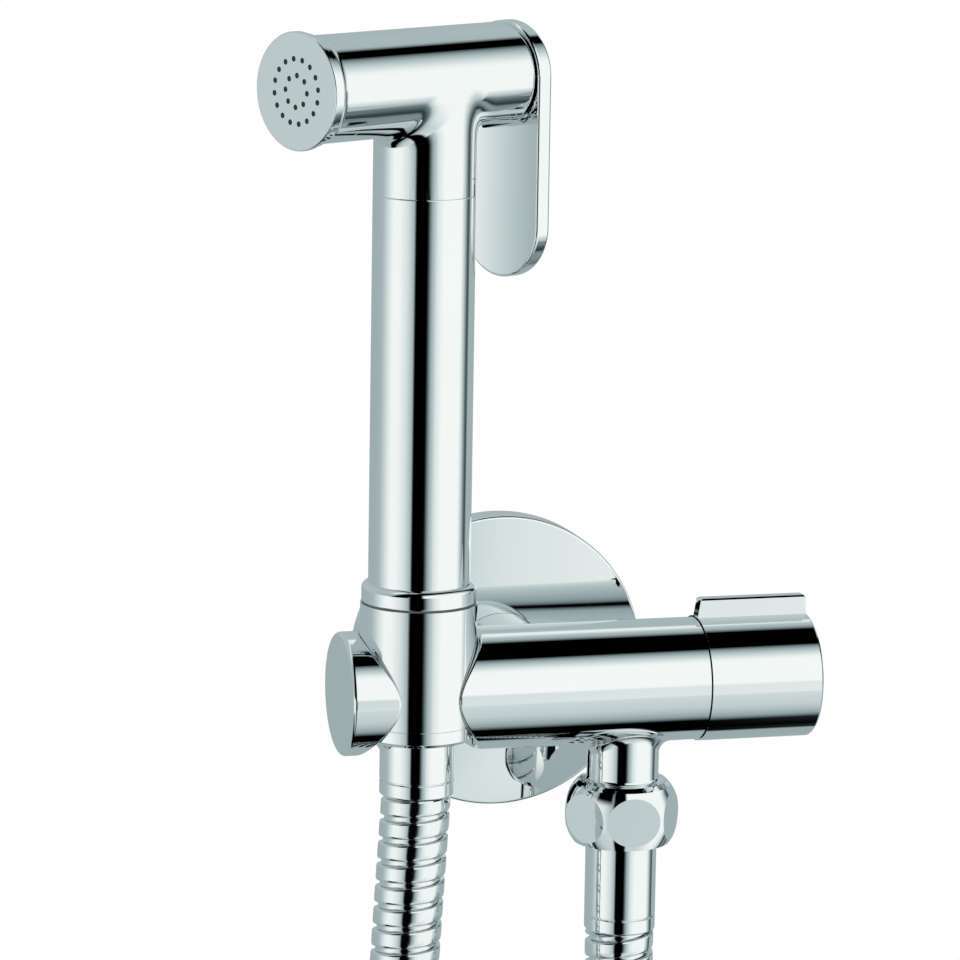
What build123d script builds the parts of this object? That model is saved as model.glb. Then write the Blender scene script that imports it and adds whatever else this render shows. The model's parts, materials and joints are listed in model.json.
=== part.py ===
from build123d import *

import math
import os

# Bidet shower kit. Millimetres, +X along the valve to its knob, +Y into the wall, +Z up.
# The origin is on the wall's face, on the axis of the threaded inlet.

# Clearances
FIT = 0.05            # pieces of one body that screw or press together
RUN = 0.06            # running fit of a shaft in its bore, on the radius
FREE = 0.3            # gap between bodies that move past each other

# Pipe threads and the waterway
THREAD_R = 10.4775    # G1/2 male thread, outer radius
WATER_R = 5.0

# Wall flange and inlet
FLANGE_R = 35.7
FLANGE_DEPTH = 8.0
FLANGE_WALL = 1.2
FLANGE_EDGE_R = 0.8
GASKET_DEPTH = 2.0
GASKET_WIDTH = 4.0
THREAD_REACH = 12.5   # thread beyond the wall's face
THREAD_START = -5.0
THREAD_CHAMFER = 0.7
NIPPLE_R = 9.0
NIPPLE_END = -18.0
NIPPLE_BORE_R = 6.5
NIPPLE_MOUTH_R = 7.6
CHECK_LENGTH = 11.0
CHECK_END = -13.0
CHECK_BORE_R = 4.2
CHECK_STEM_R = 1.1
STRAINER_LENGTH = 2.6
STRAINER_HOLES = 12
STRAINER_HOLE_R = 0.9
STRAINER_PITCH_R = 4.2
BOSS_R = 12.0
BOSS_END = -6.0
BOSS_FILLET = 2.0

# Valve body
VALVE_Y = -34.3
VALVE_R = 14.65
BODY_END = 40.5
OUTLET_X = 23.35
NECK_R = 8.6
NECK_END = -23.9
NECK_FILLET = 3.0
NECK_FOOT_R = 1.0
OUTLET_THREAD_END = -32.2
INLET_CHAMBER_R = 6.0
INLET_CHAMBER_START = -6.5
SEAT_X = 10.0
SEAT_WALL = 3.0
SEAT_BORE_R = 4.5
CARTRIDGE_BORE_R = 9.1
CARTRIDGE_THREAD_START = 35.5

# Cup that holds the hand spray
CUP_X = -28.2
CUP_AHEAD = 2.4       # the cup's axis stands this far in front of the valve's
CUP_R = 13.8
CUP_TOP = 21.95
CUP_SEAM = -6.6
CUP_BOTTOM = -10.4
CUP_BORE_R = 13.0
CUP_BEVEL = 0.8
LINER_WALL = 0.6
LINER_FLANGE_R = 13.5
LINER_FLANGE = 0.35
RING_BORE_R = 9.3
RING_SPIGOT = 3.0
SPIGOT_R = 9.0
SPIGOT_BORE_R = 6.0
CAP_FACE_X = -46.7
CAP_WALL = 2.4
VALVE_SPIGOT_END = -10.0

# Quarter-turn headwork, along X
SEAL_LENGTH = 2.4
SEAL_R = 8.0
DISC_R = 8.0
DISC_THICK = 3.0
DISC_GAP = 0.02
DISC_PORT_R = 6.2
STEM_FOOT_R = 7.9
STEM_FOOT = 3.2
STEM_R = 4.0
STEM_END = 61.0
DOG_HEIGHT = 1.2
DOG_WIDTH = 2.6
DOG_PLACE = 5.2
DOG_REACH = 3.4
CARTRIDGE_R = 9.0
CARTRIDGE_START = 11.0
WINDOW_WIDTH = 9.0
WINDOW_START = 15.8
WINDOW_END = 20.2
ORING_PLACE = 33.2
ORING_WIRE = 0.72
HEX_FLATS = 19.0
HEX_START = 42.0
HEX_END = 46.0
HEADWORK_NECK_R = 6.4
HEADWORK_END = 53.0
STEM_ORING_PLACE = 50.0
STEM_ORING_WIRE = 0.6
CLIP_THICK = 0.4
CLIP_R = 5.6
CLIP_GAP = 0.1

# Knob
KNOB_R = 15.0
KNOB_SEAM = 40.8
KNOB_END = 68.5
KNOB_EDGE = 0.5
KNOB_WALL = 1.8
KNOB_CAVITY_END = 56.0
HUB_R = 7.5
FIN_HEIGHT = 4.5
FIN_THICK = 3.5
FIN_SLANT = 0.75
FIN_EDGE = 0.4
SCREW_PLACE = 58.6
SCREW_R = 2.0
SCREW_LENGTH = 6.0
SCREW_HEX = 2.0

# Outlet nut and hose ends
NUT_TOP = -23.9
NUT_BOTTOM = -38.9
NUT_R = 13.85
NUT_RIM_R = 11.5
NUT_BEVEL = 1.0
NUT_FLATS = 24.5
NUT_TURN = -3.0
WASHER_THICK = 2.0
WASHER_R = 9.7
TAIL_FLANGE = 2.2
TAIL_FLANGE_R = 10.1
TAIL_NECK_R = 7.9
TAIL_R = 4.9
TAIL_BORE_R = 3.2
FERRULE_R = 8.5
FERRULE_END = -60.6
FERRULE_BAND = 3.4    # plain band at the ferrule's foot, below a fine groove
FERRULE_GROOVE = 0.35
HANDSET_FERRULE_R = 8.8
HANDSET_FERRULE_END = -24.2

# Hand spray: connector, collar and handle, measured on the cup's axis
COLLAR_R = 13.55
COLLAR_TOP = 26.8
COLLAR_SHOULDER = 2.0
HANDLE_R = 12.0
HANDLE_WALL = 1.4
HANDLE_TOP = 118.2
SEAM_CHAMFER = 0.15
SHOULDER_R = 11.6
SHOULDER = 3.8
CONNECTOR_THREAD_END = 10.0
CONNECTOR_SPIGOT_TOP = 38.0
CONNECTOR_ORING = 33.0
HANDSET_ORING_WIRE = 0.85
HANDSET_NUT_R = 11.9
HANDSET_NUT_TOP = 18.0
HANDSET_NUT_BOTTOM = -2.0
HANDSET_NUT_WEB = 3.0

# Head: its barrel points to the front until the whole hand spray is turned in its cup
HEAD_TURN = -61.3
BARREL_Z = 144.4
BARREL_R = 12.3
BARREL_FRONT = -35.4
BARREL_REAR = 24.0
BARREL_ROUND = 1.5
STEM_FILLET = 2.5
HEAD_SPIGOT_END = 104.0
HEAD_ORING = 109.0
FACE_X = 40.7         # spray face to handle axis
FACE_R = 13.5
FACE_THICK = 1.1
FACE_ROUND = 0.3
FACE_RECESS = 0.3
HOLE_R = 0.65
OUTER_HOLES = 16
INNER_HOLES = 8
OUTER_PITCH_R = 7.35
INNER_PITCH_R = 3.6
OUTER_START = 0.676   # share of a step from the top to the first hole
INNER_START = 0.07
LIP_R = 13.05
LIP = 1.7
SPIGOT_WALL = 1.6
FRONT_SPIGOT_R = 11.2
FRONT_SPIGOT_END = -39.0
SPREADER_THICK = 1.6
SPREADER_STEP = 1.0
SPREADER_SLOTS = 8
SPREADER_SLOT_R = 1.1
SPREADER_PITCH_R = 5.6

# Head valve, along the barrel
CHAMBER_R = 7.5
SEAT_R = 6.0
SEAT_FRONT = -11.0
SEAT_REAR = -6.5
SEAT_LIP_R = 3.9
SEAT_LIP = 0.5
SEAT_PORT_R = 3.0
GLAND_R = 6.2
GLAND_FRONT = 12.0
GLAND_REAR = 20.0
GLAND_POCKET_R = 3.6
GLAND_POCKET_FRONT = 14.0
GLAND_POCKET_REAR = 15.8
GLAND_SLOT = 1.6
PLUNGER_R = 2.0
PLUNGER_NECK_R = 1.4
PLUNGER_NECK_START = 23.05
PLUNGER_HEAD_R = 2.6
PLUNGER_HEAD = 1.4
HOLDER_R = 5.5
HOLDER = 2.0
DISC_WASHER = 1.4
DISC_WASHER_R = 5.0
PILOT_R = 1.4
SPRING_R = 3.6
SPRING_WIRE_R = 0.45
SPRING_TURNS = 6

# Lever plate and its pivot
LEVER_GAP = 0.35
LEVER_R = 12.6
LEVER_THICK = 4.35
LEVER_EDGE = 1.0
LEVER_LENGTH = 35.1   # from the upper arc's centre to the lower one's
PIVOT_BEHIND = 21.6
PIVOT_BELOW = 8.8
PIN_R = 0.9
PIN_HALF = 5.6
LUG_HALF = 2.5
LUG_R = 1.6
LUG_CLEAR = 0.45
POCKET_FRONT = 0.9
POCKET_DEPTH = 2.3
POCKET_HALF = 3.2
KEYHOLE_HALF = 2.0
KEYHOLE_RISE = 6.2

# Hose: one ribbed tube in the plane through both of its ends
HOSE_R = 8.2
HOSE_GROOVE_R = 7.4
HOSE_BORE_R = 5.0
RIB_PITCH = 5.3
RIB_RAMP = 0.3
RIB_GROOVE = 1.1
ARC_SHARE = 0.45

CUP_Y = VALVE_Y - CUP_AHEAD
LEVER_FRONT = BARREL_REAR + LEVER_GAP
COLLAR_SEAT = CUP_TOP + LINER_FLANGE

# Route of the hose: distance along the line from the outlet to the cup, and height
HOSE_ROUTE = [
    (0.0, FERRULE_END),
    (0.0, -107.0),
    (-8.0, -156.0),
    (-23.0, -209.0),
    (-41.0, -263.0),
    (-61.0, -315.0),
    (-74.0, -367.0),
    (-67.0, -416.0),
    (-38.0, -455.0),
    (6.0, -474.0),
    (55.0, -470.0),
    (97.0, -442.0),
    (119.0, -399.0),
    (121.0, -345.0),
    (109.0, -290.0),
    (91.0, -232.0),
    (75.0, -171.0),
    (58.4, -112.0),
    (55.2, -58.0),
    (53.4, -32.0),
    (53.4, HANDSET_FERRULE_END),
]


def rod(axis, radius, start, end):
    """A solid cylinder on the named axis, between two places along it."""
    turn = {"X": Rot(0, 90, 0), "Y": Rot(-90, 0, 0), "Z": Rot(0, 0, 0)}[axis]
    upright = Cylinder(radius, end - start, align=(Align.CENTER, Align.CENTER, Align.MIN))
    return turn * Pos(0, 0, start) * upright


def tube(axis, outer, inner, start, end):
    """A straight sleeve on the named axis."""
    return rod(axis, outer, start, end) - rod(axis, inner, start, end)


def turned(axis, outline):
    """A solid of revolution from (radius, place) corners on the named axis."""
    turn = {"X": Rot(0, 90, 0), "Y": Rot(-90, 0, 0), "Z": Rot(0, 0, 0)}[axis]
    face = Plane.XZ * make_face(Polyline(*outline, close=True))
    return turn * revolve(face, Axis.Z)


def torus_ring(axis, ring_radius, wire_radius, place):
    """A round rubber ring on the named axis."""
    turn = {"X": Rot(0, 90, 0), "Y": Rot(-90, 0, 0), "Z": Rot(0, 0, 0)}[axis]
    return turn * Pos(0, 0, place) * Torus(ring_radius, wire_radius)


def hexagon(axis, flats, start, end):
    """A six-sided prism on the named axis."""
    turn = {"X": Rot(0, 90, 0), "Y": Rot(-90, 0, 0), "Z": Rot(0, 0, 0)}[axis]
    prism = extrude(RegularPolygon(flats / 2, 6, major_radius=False), end - start)
    return turn * Pos(0, 0, start) * prism


def on_valve(shape):
    """Move a shape made on the X axis to the valve's axis."""
    return Pos(0, VALVE_Y, 0) * shape


def on_outlet(shape):
    """Move a shape made on the Z axis to the outlet's axis."""
    return Pos(OUTLET_X, VALVE_Y, 0) * shape


def on_cup(shape):
    """Move a shape made on the Z axis to the cup's axis."""
    return Pos(CUP_X, CUP_Y, 0) * shape


def in_hand(shape):
    """Turn a shape of the hand spray with it and put it in its cup."""
    return on_cup(Rot(0, 0, HEAD_TURN) * shape)


def on_barrel(shape):
    """Lift a shape made on the Y axis to the barrel's height."""
    return in_hand(Pos(0, 0, BARREL_Z) * shape)


# Wall side

def escutcheon():
    """Round flange: a shallow dish with a hole for the inlet boss."""
    rim = FLANGE_R - FLANGE_WALL
    shell = rod("Y", FLANGE_R, -FLANGE_DEPTH, 0)
    shell = fillet(shell.edges().group_by(Axis.Y)[0], FLANGE_EDGE_R)
    shell -= rod("Y", rim, FLANGE_WALL - FLANGE_DEPTH, 0)
    return shell - rod("Y", BOSS_R + FIT, -FLANGE_DEPTH, 0)


def wall_gasket():
    """Foam ring that fills the flange's back edge."""
    rim = FLANGE_R - FLANGE_WALL
    return tube("Y", rim, rim - GASKET_WIDTH, -GASKET_DEPTH, 0)


def valve_body():
    """Horizontal body with its inlet boss, outlet neck and all its bores."""
    body = on_valve(rod("X", VALVE_R, CUP_X, BODY_END))
    boss = rod("Y", BOSS_R, VALVE_Y, BOSS_END)
    body = fillet_join(body, boss, BOSS_FILLET)
    body = fillet_join(body, on_outlet(outlet_neck()), NECK_FILLET)
    body -= on_cup(rod("Z", CUP_R + FIT, -VALVE_R, VALVE_R))
    body -= rod("Y", NIPPLE_R + FIT, NIPPLE_END, BOSS_END)
    body -= rod("Y", WATER_R, VALVE_Y, NIPPLE_END)
    body -= on_outlet(rod("Z", WATER_R, OUTLET_THREAD_END, 0))
    body -= on_valve(rod("X", SPIGOT_R + FIT, CUP_X, VALVE_SPIGOT_END + FIT))
    body -= on_valve(rod("X", INLET_CHAMBER_R, INLET_CHAMBER_START, SEAT_X - SEAT_WALL))
    body -= on_valve(rod("X", SEAT_BORE_R, 0, SEAT_X))
    body -= on_valve(rod("X", CARTRIDGE_BORE_R, SEAT_X, BODY_END))
    return body - on_valve(rod("X", THREAD_R + FIT, CARTRIDGE_THREAD_START, BODY_END))


def outlet_neck():
    """Neck on the Z axis with the outlet's thread below it."""
    neck = rod("Z", NECK_R, NECK_END, 0) + rod("Z", THREAD_R, OUTLET_THREAD_END, NECK_END)
    circles = neck.edges().filter_by(GeomType.CIRCLE)
    foot = circles.filter_by(lambda edge: abs(edge.radius - NECK_R) < 1e-3).sort_by(Axis.Z)[0]
    return fillet(foot, NECK_FOOT_R)


def fillet_join(body, limb, radius):
    """Join a limb to a body and round the edge where they meet."""
    before = body.edges() + limb.edges()
    joined = body + limb
    seams = [edge for edge in joined.edges() if not any(same_edge(edge, old) for old in before)]
    meeting = [edge for edge in seams if on_both(edge, body, limb)]
    return fillet(meeting, radius)


def same_edge(edge, other):
    """Whether two edges have one length and one middle."""
    near = (edge @ 0.5 - other @ 0.5).length < 1e-4
    return near and abs(edge.length - other.length) < 1e-4


def on_both(edge, body, limb):
    """Whether an edge lies on the skins of two shapes."""
    places = [edge @ share for share in (0.25, 0.5, 0.75)]
    return all(body.distance_to(p) < 1e-3 and limb.distance_to(p) < 1e-3 for p in places)


def inlet_connector():
    """Nipple with the wall thread, screwed into the inlet boss."""
    nipple = rod("Y", NIPPLE_R, NIPPLE_END, THREAD_START)
    thread = rod("Y", THREAD_R, THREAD_START, THREAD_REACH)
    nipple += chamfer(thread.edges().group_by(Axis.Y)[-1], THREAD_CHAMFER)
    nipple -= rod("Y", NIPPLE_BORE_R, CHECK_END - FIT, THREAD_REACH)
    nipple -= rod("Y", WATER_R, NIPPLE_END, THREAD_REACH)
    return nipple - rod("Y", NIPPLE_MOUTH_R, THREAD_REACH - STRAINER_LENGTH, THREAD_REACH)


def inlet_strainer():
    """Plastic filter disc with a ring of holes, in the nipple's mouth."""
    disc = rod("Y", NIPPLE_MOUTH_R - FIT, THREAD_REACH - STRAINER_LENGTH, THREAD_REACH - 0.4)
    hole = rod("Y", STRAINER_HOLE_R, 0, THREAD_REACH)
    return disc - [Rot(0, 360 * i / STRAINER_HOLES, 0) * Pos(STRAINER_PITCH_R, 0, 0) * hole
                   for i in range(STRAINER_HOLES)]


def check_valve():
    """Non-return cartridge: a sleeve whose spider carries the closing stem."""
    end = CHECK_END + CHECK_LENGTH
    sleeve = tube("Y", NIPPLE_BORE_R - FIT, CHECK_BORE_R, CHECK_END, end)
    stem = rod("Y", CHECK_STEM_R, CHECK_END, end)
    arm = Pos(0, (CHECK_END + end) / 2, 0) * Box(2 * CHECK_BORE_R + 1, CHECK_STEM_R, CHECK_STEM_R)
    return sleeve + stem + [Rot(0, angle, 0) * arm for angle in (0, 90)]


def holder_cup():
    """Upright cup with one spigot into the valve body and one into the end cap."""
    cup = on_cup(rod("Z", CUP_R, CUP_SEAM, CUP_TOP))
    spigots = rod("X", SPIGOT_R, CAP_FACE_X + CAP_WALL + FIT, VALVE_SPIGOT_END)
    cup += on_valve(spigots) - on_cup(rod("Z", CUP_R + FIT, -VALVE_R, CUP_SEAM))
    cup -= on_valve(rod("X", SPIGOT_BORE_R, CAP_FACE_X, CUP_X - CUP_R))
    cup -= on_valve(rod("X", SPIGOT_BORE_R, CUP_X + CUP_R, VALVE_SPIGOT_END))
    return cup - on_cup(rod("Z", CUP_BORE_R, CUP_SEAM, CUP_TOP))


def cup_liner():
    """Plastic sleeve with a thin flange on which the collar rests."""
    inner = CUP_BORE_R - FIT - LINER_WALL
    liner = rod("Z", CUP_BORE_R - FIT, CUP_SEAM + RING_SPIGOT, CUP_TOP)
    liner += rod("Z", LINER_FLANGE_R, CUP_TOP, COLLAR_SEAT)
    return on_cup(liner - rod("Z", inner, CUP_SEAM, COLLAR_SEAT))


def cup_lower_ring():
    """Bevelled ring screwed up into the cup."""
    ring = rod("Z", CUP_R, CUP_BOTTOM, CUP_SEAM)
    ring = chamfer(ring.edges().group_by(Axis.Z)[0], CUP_BEVEL)
    ring = chamfer(ring.edges().group_by(Axis.Z)[-1], SEAM_CHAMFER)
    ring += rod("Z", CUP_BORE_R - FIT, CUP_SEAM, CUP_SEAM + RING_SPIGOT)
    return on_cup(ring - rod("Z", RING_BORE_R, CUP_BOTTOM, CUP_SEAM + RING_SPIGOT))


def end_cap():
    """Closed end of the horizontal body, shaped onto the cup."""
    cap = on_valve(rod("X", VALVE_R, CAP_FACE_X, CUP_X - FIT))
    cap -= on_cup(rod("Z", CUP_R + FIT, -VALVE_R, VALVE_R))
    return cap - on_valve(rod("X", SPIGOT_R + FIT, CAP_FACE_X + CAP_WALL, CUP_X))


# Headwork

def cartridge_seal():
    """Rubber ring between the valve's seat and the fixed disc."""
    return on_valve(tube("X", SEAL_R, SEAT_BORE_R, SEAT_X, SEAT_X + SEAL_LENGTH))


def disc_port(start):
    """Half-round port of a ceramic disc."""
    port = rod("X", DISC_PORT_R, start, start + DISC_THICK)
    return port & Pos(start, 0, STEM_R) * Box(3 * DISC_THICK, 4 * DISC_R, 2 * STEM_R - 1)


def ceramic_disc_fixed():
    """Lower disc of the headwork with one half-round port."""
    start = SEAT_X + SEAL_LENGTH
    return on_valve(rod("X", DISC_R, start, start + DISC_THICK) - disc_port(start))


def ceramic_disc_moving():
    """Upper disc, with a port and two slots for the spindle's dogs."""
    start = SEAT_X + SEAL_LENGTH + DISC_THICK + DISC_GAP
    disc = rod("X", DISC_R - FIT, start, start + DISC_THICK) - disc_port(start)
    return on_valve(disc - dogs(start + DISC_THICK - DOG_HEIGHT - FIT, start + DISC_THICK + FIT, FIT))


def dogs(start, end, grow):
    """Two blocks that drive the moving disc."""
    block = Pos((start + end) / 2, 0, 0) * Box(end - start, DOG_REACH + 2 * grow, DOG_WIDTH + 2 * grow)
    return Pos(0, DOG_PLACE, 0) * block + Pos(0, -DOG_PLACE, 0) * block


def foot_place():
    """Where the spindle's foot starts."""
    return SEAT_X + SEAL_LENGTH + 2 * (DISC_THICK + DISC_GAP)


def cartridge_stem():
    """Spindle: foot with dogs, and a shaft with a groove for its clip."""
    start = foot_place()
    stem = rod("X", STEM_FOOT_R, start, start + STEM_FOOT)
    stem += rod("X", STEM_R, start, STEM_END)
    stem += dogs(start - DOG_HEIGHT, start, 0)
    groove = HEADWORK_END + CLIP_GAP
    stem -= tube("X", STEM_R, STEM_R - 0.5, groove - FIT, groove + CLIP_THICK + FIT)
    return on_valve(stem)


def cartridge_body():
    """Brass headwork with two side windows, a thread, a hexagon and the spindle's bore."""
    foot_end = foot_place() + STEM_FOOT + DISC_GAP
    body = rod("X", CARTRIDGE_R, CARTRIDGE_START, HEX_START)
    body += rod("X", THREAD_R, CARTRIDGE_THREAD_START + FIT, HEX_START)
    body += hexagon("X", HEX_FLATS, HEX_START, HEX_END)
    body += rod("X", HEADWORK_NECK_R, HEX_END, HEADWORK_END)
    body -= rod("X", DISC_R + FIT, CARTRIDGE_START, foot_end)
    body -= rod("X", STEM_R + RUN, foot_end, HEADWORK_END)
    pocket = STEM_ORING_WIRE + FIT
    body -= rod("X", STEM_R + 2 * pocket, STEM_ORING_PLACE - pocket, STEM_ORING_PLACE + pocket)
    groove = ORING_WIRE + FIT
    body -= tube("X", CARTRIDGE_R, CARTRIDGE_BORE_R - 2 * groove, ORING_PLACE - groove, ORING_PLACE + groove)
    window = Box(WINDOW_END - WINDOW_START, 3 * CARTRIDGE_R, WINDOW_WIDTH)
    return on_valve(body - Pos((WINDOW_START + WINDOW_END) / 2, 0, 0) * window)


def cartridge_oring():
    """Rubber ring round the headwork."""
    return on_valve(torus_ring("X", CARTRIDGE_BORE_R - ORING_WIRE - FIT, ORING_WIRE, ORING_PLACE))


def stem_oring():
    """Rubber ring round the spindle."""
    return on_valve(torus_ring("X", STEM_R + STEM_ORING_WIRE + FIT, STEM_ORING_WIRE, STEM_ORING_PLACE))


def stem_clip():
    """Circlip that holds the spindle in the headwork."""
    start = HEADWORK_END + CLIP_GAP
    ring = tube("X", CLIP_R, STEM_R - 0.5 + FIT, start, start + CLIP_THICK)
    return on_valve(ring - Pos(start, CLIP_R, 0) * Box(4 * CLIP_THICK, 2 * CLIP_R, 2.4))


# Knob

def knob():
    """Hollow round knob with a fin along its top and a hub on the spindle."""
    handle = rod("X", KNOB_R, KNOB_SEAM, KNOB_END)
    handle = chamfer(handle.edges().group_by(Axis.X)[-1], KNOB_EDGE)
    handle += knob_fin()
    handle -= rod("X", KNOB_R - KNOB_WALL, KNOB_SEAM, KNOB_CAVITY_END)
    handle += rod("X", HUB_R, HEADWORK_END + 2 * FREE + CLIP_THICK, KNOB_CAVITY_END)
    handle -= rod("X", STEM_R + FIT, KNOB_SEAM, STEM_END + FREE)
    return on_valve(handle - Pos(SCREW_PLACE, 0, 0) * rod("Z", SCREW_R + FIT, -KNOB_R, 0))


def knob_fin():
    """Straight fin with slanted ends."""
    root = KNOB_R - 1
    top = KNOB_R + FIN_HEIGHT
    outline = [(KNOB_SEAM, root), (KNOB_END - KNOB_EDGE, root), (KNOB_END - KNOB_EDGE, KNOB_R),
               (KNOB_END - FIN_SLANT, top), (KNOB_SEAM + FIN_SLANT, top), (KNOB_SEAM, KNOB_R)]
    side = Plane.XZ * make_face(Polyline(*outline, close=True))
    fin = extrude(side, FIN_THICK / 2, both=True)
    return chamfer(fin.edges().group_by(Axis.Z)[-1], FIN_EDGE)


def knob_screw():
    """Grub screw with a hexagon socket, from below the knob."""
    tip = -STEM_R - FIT
    screw = rod("Z", SCREW_R, tip - SCREW_LENGTH, tip)
    screw -= hexagon("Z", SCREW_HEX, tip - SCREW_LENGTH, tip - SCREW_LENGTH / 2)
    return on_valve(Pos(SCREW_PLACE, 0, 0) * screw)


# Outlet

def outlet_nut():
    """Hose nut: a bulged turned body with six flats, each a round facet."""
    rim = NUT_TOP - NUT_BEVEL
    middle = (rim + NUT_BOTTOM) / 2
    line = Polyline((0, NUT_BOTTOM), (NUT_RIM_R, NUT_BOTTOM))
    bulge = ThreePointArc((NUT_RIM_R, NUT_BOTTOM), (NUT_R, middle), (NUT_RIM_R, rim))
    top = Polyline((NUT_RIM_R, rim), (THREAD_R + FIT, NUT_TOP), (0, NUT_TOP), (0, NUT_BOTTOM))
    nut = revolve(Plane.XZ * make_face(line + bulge + top), Axis.Z)
    nut &= Rot(0, 0, NUT_TURN) * hexagon("Z", NUT_FLATS, NUT_BOTTOM, NUT_TOP)
    nut -= rod("Z", THREAD_R + FIT, tail_place() - TAIL_FLANGE, NUT_TOP)
    return on_outlet(nut - rod("Z", TAIL_NECK_R + FIT, NUT_BOTTOM, NUT_TOP))


def washer(place):
    """Flat rubber washer of a hose nut, with its lower face at a place on the Z axis."""
    return tube("Z", WASHER_R, WATER_R, place, place + WASHER_THICK)


def tail_place():
    """Height of the top of the outlet's hose tail, under its washer."""
    return OUTLET_THREAD_END - WASHER_THICK


def outlet_washer():
    """Washer under the outlet's thread."""
    return on_outlet(washer(tail_place()))


def hose_tail(flange_top, neck_end, foot):
    """Flanged tail on the Z axis that a hose nut pulls up."""
    tail = rod("Z", TAIL_FLANGE_R, flange_top - TAIL_FLANGE, flange_top)
    tail += rod("Z", TAIL_NECK_R, neck_end, flange_top)
    tail += rod("Z", TAIL_R, foot, flange_top)
    return tail - rod("Z", TAIL_BORE_R, foot, flange_top)


def hose_ferrule(radius, top, foot):
    """Crimped sleeve with a fine groove above its foot."""
    sleeve = tube("Z", radius, TAIL_R + FIT, foot, top)
    groove = foot + FERRULE_BAND
    sleeve -= tube("Z", radius, radius - FERRULE_GROOVE, groove, groove + FERRULE_GROOVE)
    return chamfer(sleeve.edges().filter_by(GeomType.CIRCLE).group_by(Axis.Z)[0].sort_by(SortBy.RADIUS)[-1], 0.4)


def outlet_tail():
    """Tail in the outlet's nut."""
    return on_outlet(hose_tail(tail_place(), NUT_BOTTOM, FERRULE_END))


def outlet_ferrule():
    """Sleeve below the outlet's nut."""
    return on_outlet(hose_ferrule(FERRULE_R, NUT_BOTTOM, FERRULE_END))


# Hand spray, lower end

def washer_place():
    """Height of the lower face of the washer in the hand spray's nut."""
    return CONNECTOR_THREAD_END - WASHER_THICK


def handset_tail():
    """Tail in the hand spray's nut, which turns on it."""
    return on_cup(hose_tail(washer_place(), HANDSET_NUT_BOTTOM - FREE, HANDSET_FERRULE_END))


def handset_ferrule():
    """Sleeve below the hand spray's nut."""
    return on_cup(hose_ferrule(HANDSET_FERRULE_R, HANDSET_NUT_BOTTOM - FREE, HANDSET_FERRULE_END))


def handset_nut():
    """Round nut that runs free in the cup."""
    nut = rod("Z", HANDSET_NUT_R, HANDSET_NUT_BOTTOM, HANDSET_NUT_TOP)
    nut = chamfer(nut.edges(), 0.4)
    web = washer_place() - TAIL_FLANGE - FREE
    nut -= rod("Z", THREAD_R + FIT, web, HANDSET_NUT_TOP)
    return in_hand(nut - rod("Z", TAIL_NECK_R + RUN, HANDSET_NUT_BOTTOM, HANDSET_NUT_TOP))


def handset_washer():
    """Washer under the connector's thread."""
    return in_hand(washer(washer_place()))


def handle_bore_r():
    """Bore of the handle tube."""
    return HANDLE_R - HANDLE_WALL


def handset_connector():
    """Threaded end of the handle, with the shoulder that carries the collar."""
    spigot_r = handle_bore_r() - FIT
    piece = rod("Z", THREAD_R, CONNECTOR_THREAD_END, COLLAR_SEAT)
    piece += rod("Z", SHOULDER_R, COLLAR_SEAT - SHOULDER, COLLAR_SEAT)
    piece += rod("Z", spigot_r, COLLAR_SEAT, CONNECTOR_SPIGOT_TOP)
    piece -= oring_groove(spigot_r, CONNECTOR_ORING)
    return in_hand(piece - rod("Z", WATER_R, CONNECTOR_THREAD_END, CONNECTOR_SPIGOT_TOP))


def oring_groove(radius, place):
    """Groove for a rubber ring in a spigot of the handle."""
    half = HANDSET_ORING_WIRE + FIT
    return tube("Z", radius, handle_bore_r() - 2 * half, place - half, place + half)


def handle_oring(place):
    """Rubber ring between a spigot and the handle tube."""
    return torus_ring("Z", handle_bore_r() - HANDSET_ORING_WIRE - FIT / 2, HANDSET_ORING_WIRE, place)


def connector_oring():
    """Rubber ring on the connector."""
    return in_hand(handle_oring(CONNECTOR_ORING))


def collar():
    """Ring that rests on the cup, rounded up to the handle."""
    ring = rod("Z", COLLAR_R, COLLAR_SEAT, COLLAR_TOP)
    ring = fillet(ring.edges().group_by(Axis.Z)[-1], COLLAR_R - HANDLE_R)
    return in_hand(ring - rod("Z", handle_bore_r(), COLLAR_SEAT, COLLAR_TOP))


def handle_tube():
    """Straight handle tube between collar and head."""
    handle = rod("Z", HANDLE_R, COLLAR_TOP, HANDLE_TOP)
    handle = chamfer(handle.edges().group_by(Axis.Z)[-1], SEAM_CHAMFER)
    return in_hand(handle - rod("Z", handle_bore_r(), COLLAR_TOP, HANDLE_TOP))


# Head

def head_oring():
    """Rubber ring on the head's spigot."""
    return in_hand(handle_oring(HEAD_ORING))


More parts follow.
